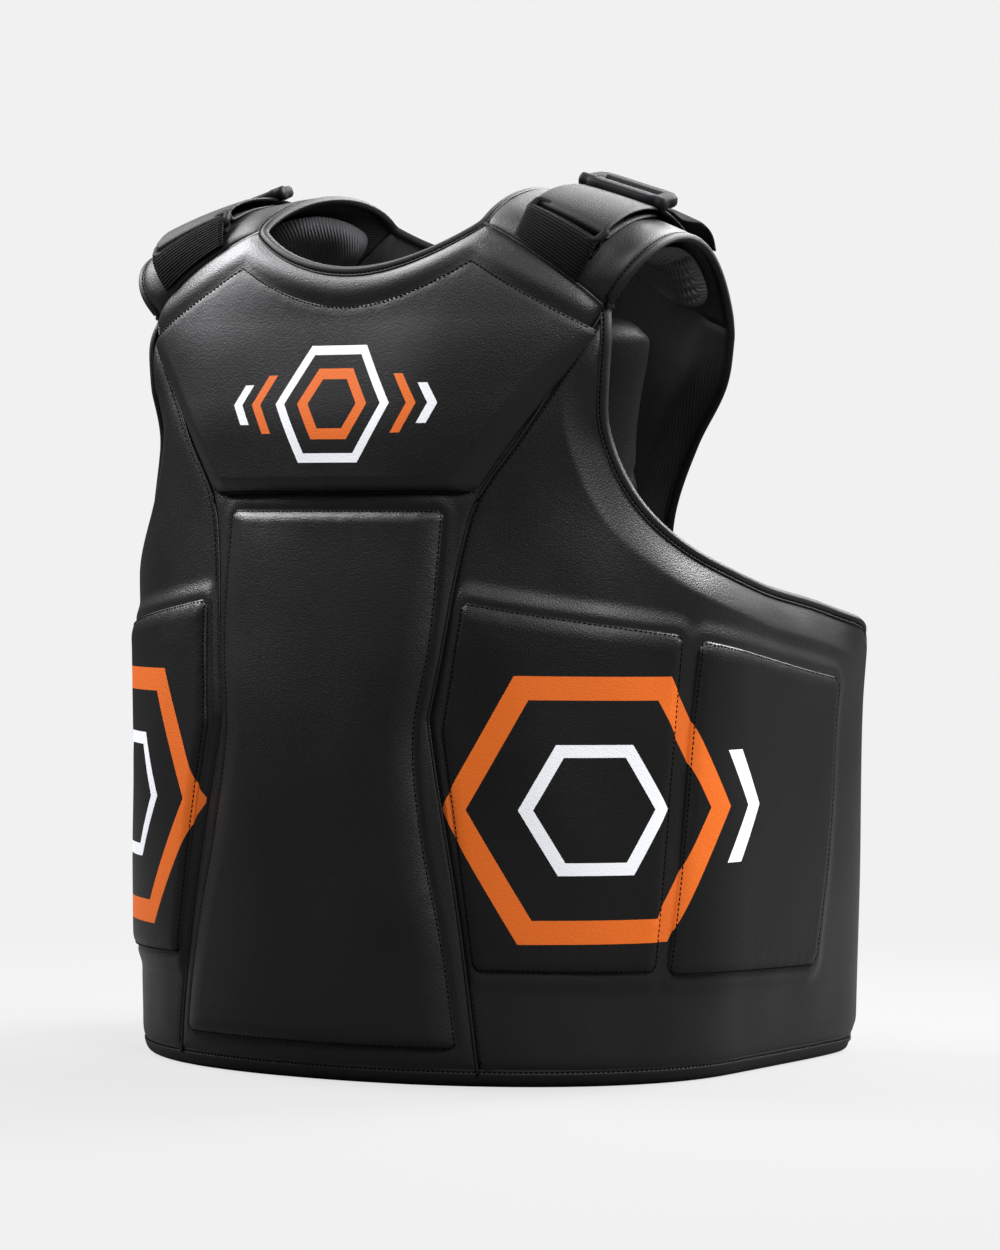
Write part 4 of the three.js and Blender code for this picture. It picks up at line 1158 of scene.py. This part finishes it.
PLASTIC = plastic()


def bar_ring(width, length, bar, tall, count=96, sides=BAR_SIDES, power=10):
    """A ring of squarish bar along a rectangle with round corners, flat in its own plane: both the ring and
    the bar's section are superellipses."""
    turn = np.linspace(0, 2 * np.pi, count, endpoint=False)
    x, y = np.cos(turn), np.sin(turn)
    w, h = (width - bar) / 2, (length - bar) / 2
    reach = (np.abs(x / w) ** power + np.abs(y / h) ** power) ** (-1 / power)
    line = np.stack([reach * x, reach * y, 0 * x], -1)
    run = unit(np.roll(line, -1, 0) - np.roll(line, 1, 0))
    side = np.cross(run, [0, 0, 1.0])
    bend = np.linspace(0, 2 * np.pi, sides, endpoint=False)[:, None]
    square = (np.abs(np.cos(bend)) ** 4 + np.abs(np.sin(bend)) ** 4) ** -0.25
    ring = bar / 2 * np.cos(bend) * side[:, None] + tall / 2 * np.sin(bend) * np.array([0, 0, 1.0])
    points = line[:, None] + square * ring
    cells = np.arange(count * sides).reshape(count, sides)
    cells = np.vstack([cells, cells[:1]])
    return points.reshape(-1, 3), faces_of(np.hstack([cells, cells[:, :1]]))[:, ::-1]


def frame_piece(name, size, middle_bar, mirror):
    """A buckle frame, laid on the yoke's slope at its place along the strap."""
    points, faces = bar_ring(size["width"], size["length"], size["bar"], size["tall"])
    groups = [faces]
    if middle_bar:
        half, near = size["width"] / 2, (size["bar"] - size["length"]) / 2
        reach, low = half - SLIDE_BAR["inset"], -SLIDE_BAR["radius"]
        bars = [(np.linspace([-reach, 0, low], [reach, 0, low], 12), SLIDE_BAR["radius"])]
        inner, outer = half - SLIDE_KNOB["inset"], half + SLIDE_KNOB["past"]
        for end in (-1, 1):
            knob = np.linspace([end * inner, near, 0], [end * outer, near, 0], 6)
            bars.append((knob, SLIDE_KNOB["radius"]))
        for line, radius in bars:
            more, parts = tube(line, radius, BAR_SIDES)
            groups += [part + len(points) for part in parts]
            points = np.vstack([points, more])
    share, along = np.array((STRAP["neck"] + STRAP["arm"]) / 2), np.array(size["along"])
    x = unit(yoke(np.array(STRAP["arm"]), along) - yoke(np.array(STRAP["neck"]), along))
    y = unit(np.cross(normal(yoke, share, along), x))
    z = np.cross(x, y)
    tilt = np.radians(size["tilt"])
    y, z = y * np.cos(tilt) + z * np.sin(tilt), z * np.cos(tilt) - y * np.sin(tilt)
    points = raised(yoke, share, along, size["lift"]) + points @ np.stack([x, y, z])
    build(name, points, [(faces, PLASTIC) for faces in groups], "plastic", None, mirror)


for word, mirror in SIDES.items():
    frame_piece(f"strap_loop_{word}", LOOP, False, mirror)
    frame_piece(f"strap_slide_{word}", SLIDE, True, mirror)

# Closing belts: two pairs of wide elastic webbing that run from inside each wing round the back.
# The left belt's end lies over the right one's.
BELT = {"thickness": 2.4, "height": 70, "lap": 45, "lap_step": 4, "start_depth": 100, "centre_depth": 161.2}
BELT_HANDLES = {"wing": 62, "back": 150}
BELT_CELLS, BELT_EDGE = (120, 40), 2
BELTS = {"upper": (190, 194.6), "lower": (80, 193)}  # level and half width


def belt(name, level, half_width, lapped, mirror):
    """A belt: a sheet along a flat Bezier curve round the back, with rounded edges."""
    depth = BELT["centre_depth"] + lapped
    handles = np.array([
        (half_width, BELT["start_depth"]),
        (half_width, BELT["start_depth"] + BELT_HANDLES["wing"]),
        (-BELT["lap"] + BELT_HANDLES["back"], depth),
        (-BELT["lap"], depth),
    ])
    u, v = grid(*BELT_CELLS)
    spot = bezier(*handles, u[..., None])
    run = unit(np.gradient(spot, axis=1))
    middle = np.concatenate([spot, (level + v * BELT["height"])[..., None]], -1)
    out = np.stack([run[..., 1], -run[..., 0], 0 * u], -1)
    edge = np.minimum(v, 1 - v) * BELT["height"]
    half = BELT["thickness"] / 2 * (0.5 + 0.5 * (1 - dip(edge / BELT_EDGE)))
    middle = middle + out * BELT["thickness"] / 2
    far = np.linalg.norm(np.diff(spot[0], axis=0), axis=1).sum()
    cloth = np.stack([v * BELT["height"], u * far], -1)
    side = out * half[..., None]
    piece = wall(name, middle + side, middle - side, "webbing", WEBBING, WEBBING, cloth, mirror)


for word, (level, half_width) in BELTS.items():
    belt(f"belt_{word}_left", level, half_width, BELT["lap_step"], False)
    belt(f"belt_{word}_right", level, half_width, 0, True)

# Stitching: rows of black thread along the pads' edges, the column seams and the bindings.
# Each stitch is one short bead of thread that lies along its row.
STITCH = {"pitch": 3.3, "length": 2.5, "radius": 0.42, "sides": 6, "shoulder": 0.6}
SEAM_ROW = {"turn": 0.85, "depth": 0.75, "gap": 4.7, "end": 8}  # degrees and mm from the column seam
TOP_ROW_ENDS = 0.03  # the share of the chest pad's top row without stitches at each end
DITCH = {"step": 8, "lift": 0.25, "ends": 5}  # the groove in a binding's profile, and its bare ends in points


def thread():
    """Black sewing thread, matte."""
    made, shader, place = material("black_thread", Roughness=0.95, Specular_IOR_Level=0.03)
    place.noise(900.0).mixed((0.001, 0.001, 0.001, 1), (0.002, 0.002, 0.002, 1)).feeds(shader, "Base Color")
    return made


THREAD = thread()


def stitched(name, lines, slot, mirror=False):
    """Beads at one pitch along lines of points: each has two rings, set in from its ends, and two tips."""
    spots, ways = [], []
    for line in lines:
        travel = travelled(line)
        at = np.arange(STITCH["pitch"] / 2, travel[-1], STITCH["pitch"])
        ends = [np.stack([np.interp(at + s, travel, c) for c in line.T], -1) for s in (-1, 0, 1)]
        spots.append(ends[1])
        ways.append(unit(ends[2] - ends[0]))
    spot, way = np.concatenate(spots), np.concatenate(ways)
    first, second = square_to(way)
    turn = np.linspace(0, 2 * np.pi, STITCH["sides"], endpoint=False)[:, None]
    ring = STITCH["radius"] * (np.cos(turn) * first[:, None] + np.sin(turn) * second[:, None])
    middle, step = spot[:, None], STITCH["length"] / 2 * way[:, None]
    inset = STITCH["shoulder"] * step
    points = np.concatenate([middle - step, middle - inset + ring, middle + inset + ring, middle + step], 1)
    near = 1 + np.arange(STITCH["sides"])
    near_after, far, tip = np.roll(near, -1), near + STITCH["sides"], 0 * near
    far_after, last = np.roll(far, -1), 2 * STITCH["sides"] + 1
    bead_sides = np.stack([near, near_after, far_after, far], -1)
    tips = np.concatenate([np.stack([tip, near_after, near], -1), np.stack([tip + last, far, far_after], -1)])
    starts = (np.arange(len(spot)) * (last + 1))[:, None, None]
    groups = [((starts + faces).reshape(-1, faces.shape[1]), THREAD) for faces in (bead_sides, tips)]
    build(name, points.reshape(-1, 3), groups, slot, None, mirror)


def ditch_row(points, across):
    """The line of a binding's stitches: the groove in its profile, a little raised."""
    return points[:, DITCH["step"]] + DITCH["lift"] * across


seam_levels = np.linspace(SHELL_BOTTOM + SEAM_ROW["end"], SHOULDER_CORNER[1] - SEAM_ROW["end"], 160)
seam_angle = curve(COLUMN_SEAM, seam_levels)[0] + SEAM_ROW["turn"]
seam_lift = -SEAM_ROW["depth"] - seam_drop(seam_levels, SEAM_ROW["gap"])
seam_row = raised(torso, seam_angle, seam_levels, seam_lift)
chest_rows, top_row = chest_edge[2], chest_edge[2][-1]
ends = round(TOP_ROW_ENDS * len(top_row))
front_rows = [top_row[ends:-ends], chest_rows[0], closed(border(belly_edge[2]))]
stitched("front_stitching", front_rows, "binding")
side_rows = [closed(border(edge[2])) for edge in rib_edges] + [seam_row]
for word, mirror in SIDES.items():
    stitched(f"side_stitching_{word}", side_rows, "binding", mirror)
stitched("neck_stitching", [closed(ditch_row(neck_points, neck_across))], "binding")
sewn = slice(DITCH["ends"], -DITCH["ends"])
for word, mirror in SIDES.items():
    stitched(f"armhole_stitching_{word}", [ditch_row(arm_points, arm_across)[sewn]], "binding", mirror)
stitched("hem_stitching", [ditch_row(hem_points, hem_across)[sewn]], "binding")

# Stage: a plain pale floor that fades into the background, soft studio light and the photograph's camera.
# None of it belongs to the part.
VIEW = {"turn": 33.5, "pitch": 1.38, "distance": 3.2, "height": 0.364, "focal": 4801, "middle": 453}
FRAME_SIZE = (1000, 1250)
SENSOR = 36.0
PALE, STUDIO_DIM = 0.88, (0.035, 0.035, 0.037, 1)
FLOOR = {"radius": 40, "sides": 64, "lit": 0.24, "dim": 0.1}
FLOOR_GLOW = {"near": 0.25, "share": 0.78, "far": 1.0}  # its share near the part, and where it is all glow


def floor_finish():
    """Pale floor: near the part mostly its own glow and partly lit, so that shadows show, and further off all
    glow, as the background is. Light that isn't on its way to the camera meets a dim floor."""
    made = bpy.data.materials.new("pale_floor")
    made.use_nodes = True
    tree = made.node_tree
    tree.nodes.clear()
    place = Value(tree, tree.nodes.new("ShaderNodeTexCoord").outputs["Object"])
    seen = Value(tree, tree.nodes.new("ShaderNodeLightPath").outputs["Is Camera Ray"])
    far = place.node("ShaderNodeVectorMath", {"operation": "LENGTH"}, {0: place}, 1)
    ends = {1: FLOOR_GLOW["near"], 2: FLOOR_GLOW["far"], 3: FLOOR_GLOW["share"], 4: 1.0}
    share = place.node("ShaderNodeMapRange", {"interpolation_type": "SMOOTHSTEP"}, {0: far, **ends})
    lit, dim = (
        place.node("ShaderNodeBsdfDiffuse", {}, {"Color": (tone, tone, tone, 1)})
        for tone in (FLOOR["lit"], FLOOR["dim"])
    )
    glow = place.node("ShaderNodeEmission", {}, {"Color": (PALE, PALE, PALE, 1), "Strength": 1.0})
    shown = place.node("ShaderNodeMixShader", {}, {0: share, 1: lit, 2: glow})
    whole = place.node("ShaderNodeMixShader", {}, {0: seen, 1: dim, 2: shown})
    whole.feeds(tree.nodes.new("ShaderNodeOutputMaterial"), "Surface")
    return made


turn = np.linspace(0, 2 * np.pi, FLOOR["sides"], endpoint=False)
floor_mesh = bpy.data.meshes.new("floor")
disc = np.stack([FLOOR["radius"] * np.cos(turn), FLOOR["radius"] * np.sin(turn), 0 * turn], -1)
floor_mesh.from_pydata(disc.tolist(), [], [list(range(FLOOR["sides"]))])
floor_mesh.materials.append(floor_finish())
floor = bpy.data.objects.new("floor", floor_mesh)
bpy.context.scene.collection.objects.link(floor)


def soft_light(name, place, aim, size, watts, colour=(1, 1, 1)):
    """A softbox of a width and height at a place, turned to face a point."""
    lamp = bpy.data.lights.new(name, "AREA")
    lamp.shape = "RECTANGLE"
    (lamp.size, lamp.size_y), lamp.energy, lamp.color = size, watts, colour
    made = bpy.data.objects.new(name, lamp)
    bpy.context.scene.collection.objects.link(made)
    made.location = place
    made.visible_camera = False
    way = Vector(aim) - Vector(place)
    made.rotation_euler = way.to_track_quat("-Z", "Y").to_euler()


soft_light("left_softbox", (-1.7, -0.2, 2.0), (0, 0, 0.4), (1.2, 1.2), 130, (0.98, 0.98, 1))
soft_light("front_softbox", (0.2, -2.1, 2.5), (0, 0, 0.35), (1.2, 1.2), 18)
soft_light("right_front_softbox", (1.9, -1.3, 2.3), (0.1, 0, 0.35), (1.2, 1.2), 84)
soft_light("right_softbox", (1.6, 0.9, 1.9), (0.1, 0, 0.45), (0.9, 0.9), 54, (0.98, 0.98, 1))
soft_light("right_back_softbox", (0.9, 1.8, 2.0), (0.1, 0, 0.45), (1.0, 1.0), 145)
soft_light("back_softbox", (0, 1.5, 1.9), (0, 0, 0.45), (2.0, 1.0), 75)
bpy.context.scene.view_settings.view_transform = "Standard"

world = bpy.data.worlds.new("pale_studio")
world.use_nodes = True
bpy.context.scene.world = world
tree = world.node_tree
backdrop = tree.nodes["Background"]
path = Value(tree, tree.nodes.new("ShaderNodeLightPath").outputs["Is Camera Ray"])
path.mixed(STUDIO_DIM, (PALE, PALE, PALE, 1)).feeds(backdrop, "Color")

camera = bpy.data.cameras.new("camera")
camera.sensor_width = SENSOR
camera.lens = VIEW["focal"] / FRAME_SIZE[1] * SENSOR
camera.shift_x = (FRAME_SIZE[0] / 2 - VIEW["middle"]) / FRAME_SIZE[1]
camera.clip_end = 100
viewer = bpy.data.objects.new("camera", camera)
bpy.context.scene.collection.objects.link(viewer)
turned = np.radians(VIEW["turn"])
viewer.location = (
    VIEW["distance"] * np.sin(turned),
    -VIEW["distance"] * np.cos(turned) + AXIS[1] * MM,
    VIEW["height"],
)
viewer.rotation_euler = (np.radians(90 - VIEW["pitch"]), 0, turned)
bpy.context.scene.camera = viewer

bpy.context.view_layer.update()
